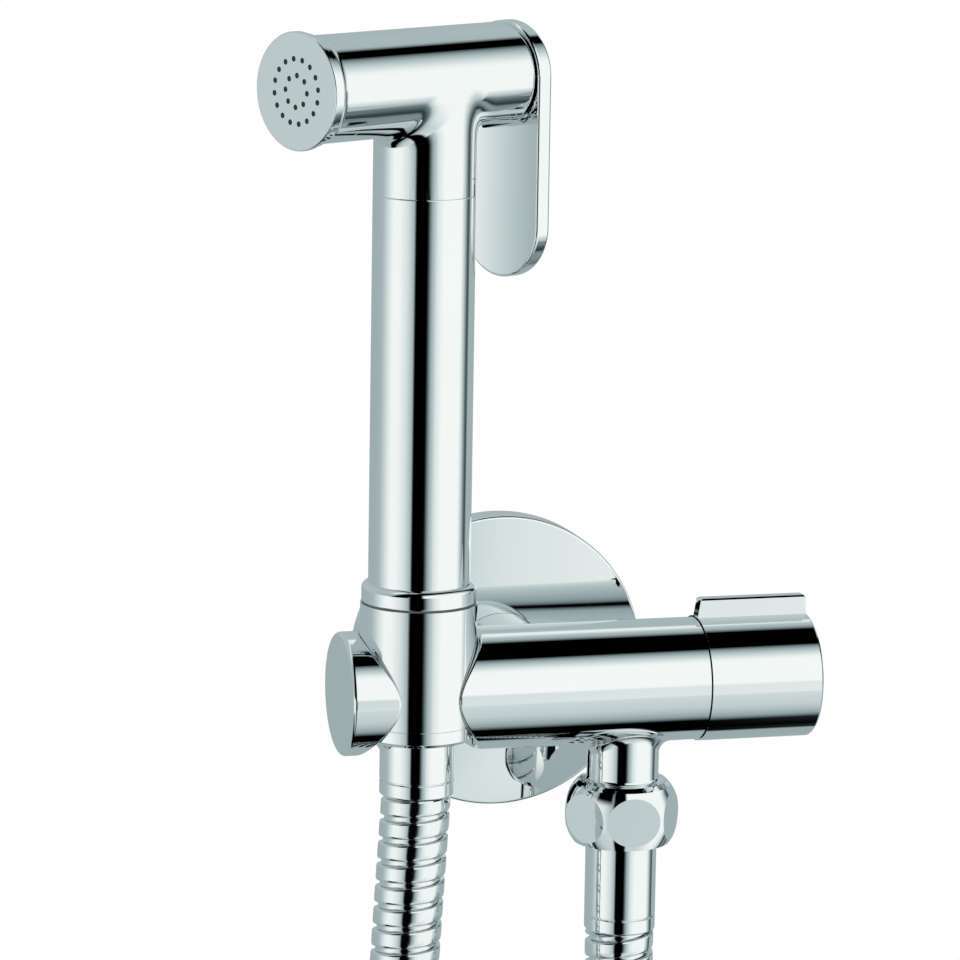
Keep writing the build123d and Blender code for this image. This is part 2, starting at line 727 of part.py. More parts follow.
def head_body():
    """T-shaped head: barrel and stem, a spigot for the handle, and the valve's chambers."""
    barrel = rod("Y", BARREL_R, BARREL_FRONT, BARREL_REAR)
    stem = Pos(0, 0, -BARREL_Z) * rod("Z", HANDLE_R, HANDLE_TOP, BARREL_Z)
    head = fillet_join(barrel, stem, STEM_FILLET)
    head = fillet(rim_edges(head, BARREL_REAR, BARREL_R), BARREL_ROUND)
    head += rod("Y", FRONT_SPIGOT_R, FRONT_SPIGOT_END, BARREL_FRONT)
    spigot_r = handle_bore_r() - FIT
    spigot = rod("Z", spigot_r, HEAD_SPIGOT_END, HANDLE_TOP) - oring_groove(spigot_r, HEAD_ORING)
    head += Pos(0, 0, -BARREL_Z) * spigot
    head -= Pos(0, 0, -BARREL_Z) * rod("Z", WATER_R, HEAD_SPIGOT_END, BARREL_Z)
    front_r = FRONT_SPIGOT_R - SPIGOT_WALL
    head -= rod("Y", front_r, FRONT_SPIGOT_END, BARREL_FRONT)
    head -= rod("Y", front_r - SPREADER_STEP, BARREL_FRONT, SEAT_FRONT)
    head -= rod("Y", SEAT_R + FIT, SEAT_FRONT, SEAT_REAR)
    head -= rod("Y", CHAMBER_R, SEAT_REAR, GLAND_FRONT)
    head -= rod("Y", GLAND_R + FIT, GLAND_FRONT, BARREL_REAR)
    head -= lug_slot()
    return on_barrel(head - pin_rod(PIN_R + FIT, PIN_HALF + FIT))


def rim_edges(shape, place, radius):
    """Circular edges of one radius in the plane across Y at a place."""
    rims = shape.edges().filter_by(GeomType.CIRCLE)
    return [e for e in rims if abs(e.radius - radius) < 1e-3 and abs(e.arc_center.Y - place) < 1e-3]


def pin_rod(radius, half):
    """A rod across the head on the lever's pivot."""
    return Pos(0, PIVOT_BEHIND, -PIVOT_BELOW) * rod("X", radius, -half, half)


def lug_slot():
    """Slot in the head's rear rim for the lever's lug."""
    reach = LUG_R + LUG_CLEAR
    start = PIVOT_BEHIND - reach
    slot = Box(2 * (LUG_HALF + LUG_CLEAR), BARREL_REAR - start, 2 * reach + LUG_CLEAR)
    return Pos(0, (start + BARREL_REAR) / 2, -PIVOT_BELOW - LUG_CLEAR / 2) * slot


def lever_pin():
    """Blind pivot pin of the lever."""
    return on_barrel(pin_rod(PIN_R, PIN_HALF))


def face_ring():
    """Flared ring: a lip at the face, then a hollow sweep down to the barrel."""
    front = FACE_THICK - FACE_X
    lip_end = front + LIP
    start = Polyline((FRONT_SPIGOT_R + FIT, BARREL_FRONT), (FRONT_SPIGOT_R + FIT, front), (LIP_R, front),
                     (LIP_R, lip_end))
    sweep_rise = (LIP_R - BARREL_R) * 0.25
    middle = (BARREL_R + sweep_rise, (lip_end + BARREL_FRONT) / 2)
    cove = ThreePointArc((LIP_R, lip_end), middle, (BARREL_R, BARREL_FRONT))
    foot = Line((BARREL_R, BARREL_FRONT), (FRONT_SPIGOT_R + FIT, BARREL_FRONT))
    return on_barrel(Rot(-90, 0, 0) * revolve(Plane.XZ * make_face(start + cove + foot), Axis.Z))


def face_seal():
    """Flat ring between the head's spigot and the spray face."""
    inner = FRONT_SPIGOT_R - SPIGOT_WALL + FIT
    return on_barrel(tube("Y", FRONT_SPIGOT_R, inner, FRONT_SPIGOT_END - 0.6, FRONT_SPIGOT_END))


def spray_face():
    """Face with two rings of holes and a skirt that holds the spreader."""
    back = FACE_THICK - FACE_X
    face = rod("Y", FACE_R, -FACE_X, back)
    face = fillet(face.edges().group_by(Axis.Y)[0], FACE_ROUND)
    skirt_r = FRONT_SPIGOT_R - SPIGOT_WALL - FIT
    face += rod("Y", skirt_r, back, BARREL_FRONT - SPREADER_THICK)
    face -= rod("Y", skirt_r - SPREADER_STEP, back - FACE_RECESS, BARREL_FRONT)
    face -= hole_ring(OUTER_PITCH_R, OUTER_HOLES, OUTER_START)
    return on_barrel(face - hole_ring(INNER_PITCH_R, INNER_HOLES, INNER_START))


def hole_ring(pitch_radius, count, start):
    """Drills through the face on one pitch circle, from a share of the step."""
    drill = rod("Y", HOLE_R, -FACE_X - 1, BARREL_FRONT)
    step = 360 / count
    return [Rot(0, step * (i + start), 0) * Pos(0, 0, pitch_radius) * drill for i in range(count)]


def spreader():
    """Plastic disc that spreads the water behind the face."""
    radius = FRONT_SPIGOT_R - SPIGOT_WALL - FIT
    disc = rod("Y", radius, BARREL_FRONT - SPREADER_THICK, BARREL_FRONT)
    drill = rod("Y", SPREADER_SLOT_R, BARREL_FRONT - SPREADER_THICK, BARREL_FRONT)
    return on_barrel(disc - [Rot(0, 360 * i / SPREADER_SLOTS, 0) * Pos(0, 0, SPREADER_PITCH_R) * drill
                             for i in range(SPREADER_SLOTS)])


def valve_seat():
    """Seat bush with a raised lip towards the plunger."""
    seat = rod("Y", SEAT_R, SEAT_FRONT, SEAT_REAR) + rod("Y", SEAT_LIP_R, SEAT_REAR, SEAT_REAR + SEAT_LIP)
    return on_barrel(seat - rod("Y", SEAT_PORT_R, SEAT_FRONT, SEAT_REAR + SEAT_LIP))


def gland_nut():
    """Slotted nut that guides the plunger and holds its seal."""
    nut = tube("Y", GLAND_R, PLUNGER_R + RUN, GLAND_FRONT, GLAND_REAR)
    nut -= rod("Y", GLAND_POCKET_R, GLAND_POCKET_FRONT, GLAND_POCKET_REAR)
    slot = Pos(0, GLAND_REAR, 0) * Box(3 * GLAND_R, 2 * GLAND_SLOT, GLAND_SLOT)
    return on_barrel(nut - slot)


def gland_oring():
    """Rubber ring round the plunger."""
    wire = (GLAND_POCKET_R - PLUNGER_R) / 2 - FIT / 2
    place = (GLAND_POCKET_FRONT + GLAND_POCKET_REAR) / 2
    return on_barrel(torus_ring("Y", (GLAND_POCKET_R + PLUNGER_R) / 2, wire, place))


def holder_place():
    """Where the plunger's washer holder starts."""
    return SEAT_REAR + SEAT_LIP + FIT + DISC_WASHER


def plunger():
    """Rod with a washer holder in front and a hooked head in the lever's pocket."""
    start = holder_place()
    head_end = LEVER_FRONT + POCKET_FRONT + (POCKET_DEPTH + PLUNGER_HEAD) / 2
    rod_piece = rod("Y", PILOT_R, start - DISC_WASHER, start)
    rod_piece += rod("Y", HOLDER_R, start, start + HOLDER)
    rod_piece += rod("Y", PLUNGER_R, start, PLUNGER_NECK_START)
    rod_piece += rod("Y", PLUNGER_NECK_R, PLUNGER_NECK_START, head_end)
    return on_barrel(rod_piece + rod("Y", PLUNGER_HEAD_R, head_end - PLUNGER_HEAD, head_end))


def plunger_washer():
    """Rubber face of the plunger."""
    end = holder_place()
    return on_barrel(tube("Y", DISC_WASHER_R, PILOT_R + FIT, end - DISC_WASHER, end))


def spring():
    """Closing spring: turns of wire between the plunger's holder and the gland nut."""
    start = holder_place() + HOLDER + SPRING_WIRE_R + FIT
    height = GLAND_FRONT - SPRING_WIRE_R - FIT - start
    line = Helix(height / SPRING_TURNS, height, SPRING_R)
    section = Plane(origin=line @ 0, z_dir=line % 0) * Circle(SPRING_WIRE_R)
    coil = sweep(section, path=line, is_frenet=True)
    return on_barrel(Rot(-90, 0, 0) * Pos(0, 0, start) * coil)


# Lever

def lever():
    """Stadium plate with a lug on its pivot and a pocket for the plunger's head."""
    plate = extrude(lever_outline(LEVER_R), LEVER_THICK)
    plate = fillet(plate.edges().group_by(Axis.Y)[-1], LEVER_EDGE)
    plate -= keyhole(POCKET_FRONT, POCKET_DEPTH, POCKET_HALF)
    plate -= keyhole(0, POCKET_FRONT, KEYHOLE_HALF)
    plate -= Pos(0, LEVER_FRONT, KEYHOLE_RISE) * rod("Y", POCKET_HALF, 0, POCKET_FRONT)
    lug = pin_rod(LUG_R, LUG_HALF)
    lug_length = LEVER_FRONT - PIVOT_BEHIND
    lug += Pos(0, PIVOT_BEHIND + lug_length / 2, -PIVOT_BELOW) * Box(2 * LUG_HALF, lug_length, 2 * LUG_R)
    return on_barrel(plate + lug - pin_rod(PIN_R + RUN, LUG_HALF))


def lever_outline(half_width):
    """Stadium on the plate's front plane, from the barrel's axis downwards."""
    sheet = Plane(origin=(0, LEVER_FRONT, -LEVER_LENGTH / 2), x_dir=(0, 0, 1), z_dir=(0, 1, 0))
    return sheet * SlotCenterToCenter(LEVER_LENGTH, 2 * half_width)


def keyhole(start, depth, half_width):
    """Upright slot in the plate from the plunger's axis, so that its head hooks in."""
    sheet = Plane(origin=(0, LEVER_FRONT + start, KEYHOLE_RISE / 2), x_dir=(0, 0, 1), z_dir=(0, 1, 0))
    return extrude(sheet * SlotCenterToCenter(KEYHOLE_RISE, 2 * half_width), depth)


# Hose

def hose_corners():
    """Corners of the hose's route in the model's frame."""
    start = Vector(OUTLET_X, VALVE_Y, 0)
    across = Vector(CUP_X, CUP_Y, 0) - start
    along = across.normalized()
    last = HOSE_ROUTE[-1][0]
    return [start + along * (u * across.length / last) + Vector(0, 0, z) for u, z in HOSE_ROUTE]


def hose_line():
    """Centre line: straight runs joined by the largest arcs that they allow."""
    corners = hose_corners()
    radii = []
    for before, corner, after in zip(corners, corners[1:], corners[2:]):
        run_in, run_out = corner - before, after - corner
        turn = math.radians(run_in.get_angle(run_out))
        radii.append(ARC_SHARE * min(run_in.length, run_out.length) / math.tan(turn / 2))
    print("hose radii", [round(radius) for radius in radii])
    return FilletPolyline(*corners, radius=radii)


def hose():
    """Ribbed tube: each rib is two ramps and a flat crest, then a groove."""
    line = hose_line()
    across = Vector(CUP_X - OUTLET_X, CUP_Y - VALVE_Y, 0)
    steady = across.cross(Vector(0, 0, 1)).normalized()
    ribs = round(line.length / RIB_PITCH)
    pitch = line.length / ribs
    steps = [(0, HOSE_GROOVE_R), (RIB_RAMP, HOSE_R), (pitch - RIB_GROOVE - RIB_RAMP, HOSE_R),
             (pitch - RIB_GROOVE, HOSE_GROOVE_R)]
    places = [(i * pitch + step, radius) for i in range(ribs) for step, radius in steps]
    places.append((line.length, HOSE_GROOVE_R))
    print("hose length", round(line.length, 1), "ribs", ribs, "pitch", round(pitch, 3))
    print("least gap between the hose's legs", round(least_gap(line) - 2 * HOSE_R, 1))
    outer = tube_skin(line, steady, places)
    bore = tube_skin(line, steady, [(place, HOSE_BORE_R) for place, radius in places])
    return outer - bore


def tube_skin(line, steady, places):
    """Ruled solid through circles across a line, on one steady X axis."""
    sections = []
    for place, radius in places:
        share = place / line.length
        sections.append(Plane(origin=line @ share, x_dir=steady, z_dir=line % share) * Circle(radius))
    return loft(sections, ruled=True)


def least_gap(line):
    """Smallest distance between the two legs, measured on points of the centre line."""
    count = 120
    points = [line @ (i / count) for i in range(count + 1)]
    apart = count // 4
    return min((points[i] - points[j]).length
               for i in range(count + 1) for j in range(i + apart, count + 1))


SUB_PARTS = [
    escutcheon, wall_gasket, valve_body, inlet_connector, inlet_strainer, check_valve, holder_cup, cup_liner,
    cup_lower_ring, end_cap, cartridge_body, cartridge_seal, cartridge_oring, ceramic_disc_fixed, outlet_nut,
    outlet_washer, outlet_tail, outlet_ferrule, hose, knob, knob_screw, cartridge_stem, ceramic_disc_moving,
    stem_oring, stem_clip, handset_ferrule, handset_tail, handset_nut, handset_washer, handset_connector,
    connector_oring, collar, handle_tube, head_oring, head_body, face_ring, face_seal, spray_face, spreader,
    valve_seat, spring, gland_nut, gland_oring, lever_pin, lever, plunger, plunger_washer,
]

os.makedirs("parts", exist_ok=True)
for sub_part in SUB_PARTS:
    export_step(sub_part(), f"parts/{sub_part.__name__}.step")
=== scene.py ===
import json
import logging
import math
from collections.abc import Sequence
from dataclasses import dataclass, field
from enum import Enum
from typing import Any

import bmesh
import bpy
from mathutils import Matrix, Vector


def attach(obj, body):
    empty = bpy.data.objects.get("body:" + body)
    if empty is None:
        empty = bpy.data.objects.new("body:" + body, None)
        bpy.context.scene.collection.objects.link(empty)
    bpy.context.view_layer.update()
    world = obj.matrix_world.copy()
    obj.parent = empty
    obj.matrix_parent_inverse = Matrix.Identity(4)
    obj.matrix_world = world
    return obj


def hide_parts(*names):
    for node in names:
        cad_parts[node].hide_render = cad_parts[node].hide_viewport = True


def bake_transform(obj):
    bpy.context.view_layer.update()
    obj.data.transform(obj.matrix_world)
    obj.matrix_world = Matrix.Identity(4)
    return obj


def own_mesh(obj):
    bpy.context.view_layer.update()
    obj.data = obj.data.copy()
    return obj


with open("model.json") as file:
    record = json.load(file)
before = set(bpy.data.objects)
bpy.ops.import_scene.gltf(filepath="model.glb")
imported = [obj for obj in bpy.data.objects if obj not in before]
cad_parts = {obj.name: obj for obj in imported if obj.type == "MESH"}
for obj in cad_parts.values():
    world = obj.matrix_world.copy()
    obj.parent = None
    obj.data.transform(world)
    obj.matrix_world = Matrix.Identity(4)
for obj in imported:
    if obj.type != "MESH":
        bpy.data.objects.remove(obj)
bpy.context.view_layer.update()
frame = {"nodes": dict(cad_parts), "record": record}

# Looks of the bidet shower kit. Sizes are in millimetres of the CAD frame and become metres in the meshes.

Material = bpy.types.Material
Mesh = bpy.types.Mesh
Piece = bpy.types.Object
Shape = bmesh.types.BMesh
Socket = bpy.types.NodeSocket

LOG = logging.getLogger("bidet_shower_kit")
MM = 0.001
WELD = 1e-7
TINY = 1e-6
FIT = 0.05
# How far a point may lie off a skin, and a cut off a vertex that it takes
SURFACE_REACH = 0.004
CUT_REACH = 1e-4
# An edge is sharp over the first angle, and two faces are one plane under the second
SHARP_ANGLE = math.radians(28)
FLAT_ANGLE = math.radians(0.05)
# Least cosine between a face and the skin that it takes normals from, and between soft faces that ease
SKIN_MATCH = 0.80
SOFT_MATCH = 0.5
# Less than this area, in square millimetres, is none
NO_AREA = 1e-9

OUTLET_X = 23.35
VALVE_Y = -34.3
CUP_X = -28.2
CUP_Y = -36.7
HEAD_TURN = math.radians(-61.3)
BARREL_Z = 144.4


class Body(str, Enum):
    """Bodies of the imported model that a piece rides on."""

    WALL = "wall_unit"
    KNOB = "knob"
    HOSE_END = "hose_end"
    HANDSET = "handset"
    LEVER = "lever"


class Slot(str, Enum):
    """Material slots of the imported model."""

    CHROME = "chrome"
    FLANGE = "chrome_flange"
    HOSE = "hose_metal"
    BRASS = "brass"
    STEEL = "steel"
    RUBBER = "rubber"
    FOAM = "foam"
    LINER = "liner_plastic"
    WHITE = "white_plastic"
    CERAMIC = "ceramic"


def shifted(x: float = 0.0, y: float = 0.0, z: float = 0.0) -> Matrix:
    """Matrix that moves along the axes."""
    return Matrix.Translation((x, y, z))


# Turns that lay the local Z axis along X, along Y and downwards
TO_X = Matrix.Rotation(math.radians(90), 4, "Y")
TO_Y = Matrix.Rotation(math.radians(-90), 4, "X")
TO_FLOOR = Matrix.Rotation(math.radians(180), 4, "X")

ON_WALL = TO_Y
VALVE_CENTRE = shifted(y=VALVE_Y)
ON_VALVE = VALVE_CENTRE @ TO_X
ON_OUTLET = shifted(OUTLET_X, VALVE_Y)
ON_CUP = shifted(CUP_X, CUP_Y)
IN_HAND = ON_CUP @ Matrix.Rotation(HEAD_TURN, 4, "Z")
BARREL_CENTRE = IN_HAND @ shifted(z=BARREL_Z)
ON_BARREL = BARREL_CENTRE @ TO_Y


class TreeMaker:
    """Adds nodes to one tree, sets their inputs and links them."""

    def __init__(self, tree: bpy.types.NodeTree) -> None:
        """Keep the tree.

        Args:
            tree: The node tree to fill.
        """
        self.tree = tree

    def add(self, kind: str, feeds: dict[str | int, Any] | None = None, **settings: Any) -> bpy.types.Node:
        """Add a node.

        Args:
            kind: Blender's type name of the node.
            feeds: A value or a socket for each named or numbered input.
            settings: Properties of the node.

        Returns:
            The new node.
        """
        node = self.tree.nodes.new(kind)
        for name, value in settings.items():
            setattr(node, name, value)
        for key, value in (feeds or {}).items():
            self.feed(node.inputs[key], value)
        return node

    def feed(self, socket: bpy.types.NodeSocket, value: Any) -> None:
        """Link a socket to an input, or write a value into it."""
        if isinstance(value, bpy.types.NodeSocket):
            self.tree.links.new(value, socket)
        else:
            socket.default_value = value

    def calc(self, operation: str, *terms: Any) -> Socket:
        """Add a Math node with its terms, and give its result."""
        return self.add("ShaderNodeMath", dict(enumerate(terms)), operation=operation).outputs[0]

    def vector(self, operation: str, *terms: Any) -> Socket:
        """Add a Vector Math node with its terms, and give its result."""
        node = self.add("ShaderNodeVectorMath", dict(enumerate(terms)), operation=operation)
        return node.outputs[1] if operation == "DOT_PRODUCT" else node.outputs[0]

    def scaled(self, vector: Socket, factor: Socket) -> Socket:
        """Scale a vector by a value."""
        return self.add("ShaderNodeVectorMath", {0: vector, "Scale": factor}, operation="SCALE").outputs[0]

    def spread(self, value: Socket, low: float, high: float, to_low: float = 0.0, to_high: float = 1.0,
               soft: bool = False) -> Socket:
        """Map a value from one range to another.

        Args:
            value: The socket to map.
            low: Start of the range that comes in.
            high: End of the range that comes in.
            to_low: Start of the range that goes out.
            to_high: End of the range that goes out.
            soft: Whether the ends ease in and out.

        Returns:
            The mapped value's socket.
        """
        node = self.add("ShaderNodeMapRange", {0: value, 1: low, 2: high, 3: to_low, 4: to_high})
        node.interpolation_type = "SMOOTHSTEP" if soft else "LINEAR"
        return node.outputs[0]

    def mix(self, share: Any, first: Any, second: Any) -> Socket:
        """Mix two colours by a share of the second."""
        return self.add("ShaderNodeMix", {0: share, 6: first, 7: second}, data_type="RGBA").outputs[2]


# Finishes

# Share of the fineness, detail and roughness of the fine and of the broad noise, and the broad one's share
FINE_NOISE = (1.0, 3.0, 0.55)
BROAD_NOISE = (0.12, 2.0, 0.5)
BROAD_SHARE = 0.6
# Spans of the noises that the roughness and the colour run over
ROUGHNESS_SPAN = (0.36, 0.64)
COLOUR_SPAN = (0.3, 0.7)


def marks_group() -> bpy.types.NodeTree:
    """Build the shader group that varies a surface's roughness and height.

    Returns:
        The group, with a vector, a fineness and two roughness limits as its inputs.
    """
    group = bpy.data.node_groups.new("surface_marks", "ShaderNodeTree")
    for name in ("Vector", "Fineness", "Smoothest", "Roughest"):
        kind = "Vector" if name == "Vector" else "Float"
        group.interface.new_socket(name, in_out="INPUT", socket_type=f"NodeSocket{kind}")
    for name in ("Roughness", "Height", "Patches"):
        group.interface.new_socket(name, in_out="OUTPUT", socket_type="NodeSocketFloat")
    maker = TreeMaker(group)
    start = maker.add("NodeGroupInput").outputs
    noises = []
    for share, detail, rough in (FINE_NOISE, BROAD_NOISE):
        scale = maker.calc("MULTIPLY", start["Fineness"], share)
        noises.append(maker.add("ShaderNodeTexNoise", {
            "Vector": start["Vector"], "Scale": scale, "Detail": detail, "Roughness": rough}).outputs[0])
    fine, broad = noises
    both = maker.calc("MULTIPLY_ADD", broad, BROAD_SHARE, maker.calc("MULTIPLY", fine, 1 - BROAD_SHARE))
    roughness = maker.add("ShaderNodeMapRange", {
        0: maker.spread(both, *ROUGHNESS_SPAN), 3: start["Smoothest"], 4: start["Roughest"]})
    maker.add("NodeGroupOutput", {"Roughness": roughness.outputs[0], "Height": fine, "Patches": broad})
    return group


@dataclass(frozen=True)
class Finish:
    """One finish: its colour, its gloss and the fine marks that vary them."""

    slot: Slot
    colour: tuple[float, float, float]
    darker: tuple[float, float, float]
    metallic: float
    smoothest: float
    roughest: float
    fineness: float
    stretch: tuple[float, float, float] = (1.0, 1.0, 1.0)
    bump: float = 0.05
    bump_depth: float = 0.00002
    clear: float = 0.0

    def build(self, marks: bpy.types.NodeTree) -> Material:
        """Make the material.

        Args:
            marks: The shared shader group.

        Returns:
            The finished material.
        """
        material = bpy.data.materials.new(f"{self.slot.value}_finish")
        material.use_nodes = True
        material.node_tree.nodes.clear()
        maker = TreeMaker(material.node_tree)
        place = maker.add("ShaderNodeTexCoord").outputs["Object"]
        mapping = maker.add("ShaderNodeMapping", {"Vector": place, "Scale": self.stretch})
        group = maker.add("ShaderNodeGroup", {
            "Vector": mapping.outputs[0], "Fineness": self.fineness, "Smoothest": self.smoothest,
            "Roughest": self.roughest}, node_tree=marks).outputs
        share = maker.spread(group["Patches"], *COLOUR_SPAN)
        tint = maker.mix(share, (*self.darker, 1.0), (*self.colour, 1.0))
        bump = maker.add("ShaderNodeBump", {
            "Strength": self.bump, "Distance": self.bump_depth, "Height": group["Height"]})
        shader = maker.add("ShaderNodeBsdfPrincipled", {
            "Base Color": tint, "Metallic": self.metallic, "Roughness": group["Roughness"],
            "Normal": bump.outputs[0], "Coat Weight": self.clear})
        maker.add("ShaderNodeOutputMaterial", {0: shader.outputs[0]})
        return material


FINISHES = (
    Finish(Slot.CHROME, (0.975, 0.98, 0.98), (0.95, 0.96, 0.965), 1.0, 0.012, 0.04, 160.0, bump=0.02),
    Finish(Slot.FLANGE, (0.965, 0.975, 0.975), (0.93, 0.945, 0.95), 1.0, 0.012, 0.035, 260.0,
           stretch=(1.0, 1.0, 0.06), bump=0.04),
    Finish(Slot.HOSE, (0.955, 0.965, 0.97), (0.91, 0.93, 0.935), 1.0, 0.05, 0.11, 420.0, bump=0.05),
    Finish(Slot.BRASS, (0.78, 0.60, 0.33), (0.66, 0.48, 0.25), 1.0, 0.18, 0.34, 320.0, bump=0.2),
    Finish(Slot.STEEL, (0.74, 0.75, 0.76), (0.62, 0.63, 0.65), 1.0, 0.16, 0.30, 380.0, bump=0.12),
    Finish(Slot.RUBBER, (0.030, 0.031, 0.033), (0.018, 0.018, 0.020), 0.0, 0.55, 0.75, 300.0, bump=0.3),
    Finish(Slot.FOAM, (0.16, 0.16, 0.17), (0.07, 0.07, 0.075), 0.0, 0.85, 0.98, 900.0, bump=0.9,
           bump_depth=0.0003),
    Finish(Slot.LINER, (0.10, 0.105, 0.11), (0.07, 0.072, 0.075), 0.0, 0.30, 0.42, 240.0, bump=0.1),
    Finish(Slot.WHITE, (0.86, 0.86, 0.84), (0.80, 0.80, 0.78), 0.0, 0.28, 0.42, 240.0, bump=0.1),
    Finish(Slot.CERAMIC, (0.84, 0.83, 0.80), (0.78, 0.77, 0.74), 0.0, 0.08, 0.16, 240.0, bump=0.03,
           clear=0.3),
)


# Surfaces whose exact normals the polished pieces take


@dataclass(frozen=True)
class Skin:
    """A surface at a place."""

    place: Matrix

    def normal_at(self, point: Vector) -> Vector | None:
        """Give the surface's normal at a point of the row frame, in millimetres.

        Args:
            point: The point to test.

        Returns:
            The unit normal, or None where the point is not on the surface.
        """
        normal = self.local_normal(self.place.inverted() @ point)
        return None if normal is None else (self.place.to_3x3() @ normal).normalized()

    def local_normal(self, local: Vector) -> Vector | None:
        """Give the normal at a local point, of any length, or None off the surface."""
        raise NotImplementedError


@dataclass(frozen=True)
class RoundSkin(Skin):
    """Cylinder on the local Z axis."""

    radius: float

    def local_normal(self, local: Vector) -> Vector | None:
        """Give the way straight out from the axis."""
        spoke = Vector((local.x, local.y, 0.0))
        return spoke if abs(spoke.length - self.radius) < SURFACE_REACH else None


@dataclass(frozen=True)
class RingSkin(Skin):
    """Torus round the local Z axis: the round of a circular edge, or a bulge."""

    ring_radius: float
    wire_radius: float
    height: float
    crown: float = 1.0

    def local_normal(self, local: Vector) -> Vector | None:
        """Give the way out of the wire, levelled where the polish shows less crown."""
        spoke = Vector((local.x, local.y, 0.0))
        away = Vector((spoke.length - self.ring_radius, local.z - self.height))
        if spoke.length < TINY or abs(away.length - self.wire_radius) > SURFACE_REACH:
            return None
        return spoke.normalized() * away.x + Vector((0, 0, away.y * self.crown))


@dataclass(frozen=True)
class CoveSkin(Skin):
    """Rolling-ball fillet between a limb on the local Z axis and a main cylinder on the local X axis."""

    limb_radius: float
    main_radius: float
    ball: float
    # Search for the nearest centre of the ball: first and last step in radians, and how far each step shrinks
    first_step: float = 0.25
    last_step: float = 1e-5
    shrink: float = 0.6

    def local_normal(self, local: Vector) -> Vector | None:
        """Give the way to the nearest centre of the rolling ball."""
        angle = math.atan2(local.y, local.x)
        step = self.first_step
        while step > self.last_step:
            angle = min((angle - step, angle, angle + step),
                        key=lambda turned: (self.ball_centre(turned) - local).length)
            step *= self.shrink
        away = self.ball_centre(angle) - local
        return away if abs(away.length - self.ball) <= SURFACE_REACH else None

    def ball_centre(self, angle: float) -> Vector:
        """Centre of the rolling ball at an angle round the limb."""
        reach = self.limb_radius + self.ball
        x, y = reach * math.cos(angle), reach * math.sin(angle)
        return Vector((x, y, math.sqrt((self.main_radius + self.ball) ** 2 - y * y)))


@dataclass(frozen=True)
class PlaneSkin(Skin):
    """Plane across the local Z axis of a place, whose polish may lean evenly along local X."""

    lean: float = 0.0
    level_at: float = 0.0

    def local_normal(self, local: Vector) -> Vector | None:
        """Give the plane's normal, leaned by the polish."""
        if abs(local.z) > SURFACE_REACH:
            return None
        angle = math.radians(self.lean * (local.x - self.level_at))
        return Vector((math.sin(angle), 0.0, math.cos(angle)))


@dataclass(frozen=True)
class FlowSkin(Skin):
    """Barrel on local Y and stem below it on local Z, run into each other as in a polished casting."""

    barrel_radius: float
    stem_radius: float
    blend: float = 4.6
    blend_top: float = 1.5
    blend_drop: float = 6.0
    # Steps that settle a point
    settling: int = 4
    # Zone where the two run together: half its width, its foot and top, and how far off the surface it holds
    half_width: float = 20.0
    foot: float = -24.0
    top: float = 4.0
    reach: float = 0.9
    # Cuts that refine the zone, and the longest edge in it
    cut_step: float = 1.25
    cuts_aside: int = 15
    first_cut: float = 3.0
    cuts_down: int = 22
    longest_edge: float = 0.75
    halvings: int = 7

    def covers(self, local: Vector) -> bool:
        """Tell whether a local point is in the zone where the two run together."""
        return (abs(local.y) < self.half_width and self.foot < local.z < self.top
                and abs(self.measure(local)[0]) < self.reach)

    def measure(self, local: Vector) -> tuple[float, Vector]:
        """Measure a local point against the smooth union of barrel and stem.

        Args:
            local: The point.

        Returns:
            Its distance from the joined surface, and the gradient there.
        """
        barrel = math.hypot(local.x, local.z)
        stem = math.hypot(local.x, local.y)
        a, b = barrel - self.barrel_radius, stem - self.stem_radius
        to_barrel = Vector((local.x / barrel, 0.0, local.z / barrel)) if barrel > TINY else Vector((0, 0, 1))
        to_stem = Vector((local.x / stem, local.y / stem, 0.0)) if stem > TINY else Vector((1, 0, 0))
        t = min(1.0, max(0.0, (self.blend_top - local.z) / self.blend_drop))
        k = self.blend * t * t * (3 - 2 * t)
        if k < TINY or abs(a - b) >= k:
            return (a, to_barrel) if a < b or t <= 0 else (b, to_stem)
        h = 1 - abs(a - b) / k
        share = h * h / 2
        near, far = (to_barrel, to_stem) if a < b else (to_stem, to_barrel)
        growth = -(3 * h * h * abs(a - b) / k + h ** 3) / 6
        slope = -self.blend * 6 * t * (1 - t) / self.blend_drop
        gradient = near * (1 - share) + far * share + Vector((0, 0, growth * slope))
        return min(a, b) - h ** 3 * k / 6, gradient

    def local_normal(self, local: Vector) -> Vector | None:
        """Give the gradient on the joined surface."""
        distance, gradient = self.measure(local)
        return gradient if abs(distance) <= 5 * SURFACE_REACH and self.covers(local) else None

    def settle(self, point: Vector) -> Vector:
        """Move a point of the zone onto the joined surface; leave any other as it is."""
        local = self.place.inverted() @ point
        if not self.covers(local):
            return point
        for _ in range(self.settling):
            distance, gradient = self.measure(local)
            local = local - gradient * (distance / gradient.length_squared)
        return self.place @ local

    def cuts(self) -> list[tuple[Vector, Vector]]:
        """Point and normal, in the row frame, of each plane that cuts the zone."""
        aside = [(Vector((0, self.cut_step * i, 0)), Vector((0, 1, 0)))
                 for i in range(-self.cuts_aside, self.cuts_aside + 1)]
        down = [(Vector((0, 0, self.first_cut - self.cut_step * i)), Vector((0, 0, 1)))
                for i in range(self.cuts_down)]
        return [(self.place @ middle, self.place.to_3x3() @ across) for middle, across in aside + down]


@dataclass(frozen=True)
class SoftEdge:
    """Wide rounding of the edges that lie both on a skin of one set and on a skin of another."""

    first: tuple[Skin, ...]
    second: tuple[Skin, ...]
    width: float
    steps: int = 5

    def holds(self, point: Vector) -> bool:
        """Tell whether a point is on the edge."""
        return all(any(skin.normal_at(point) is not None for skin in side)
                   for side in (self.first, self.second))


# Pieces


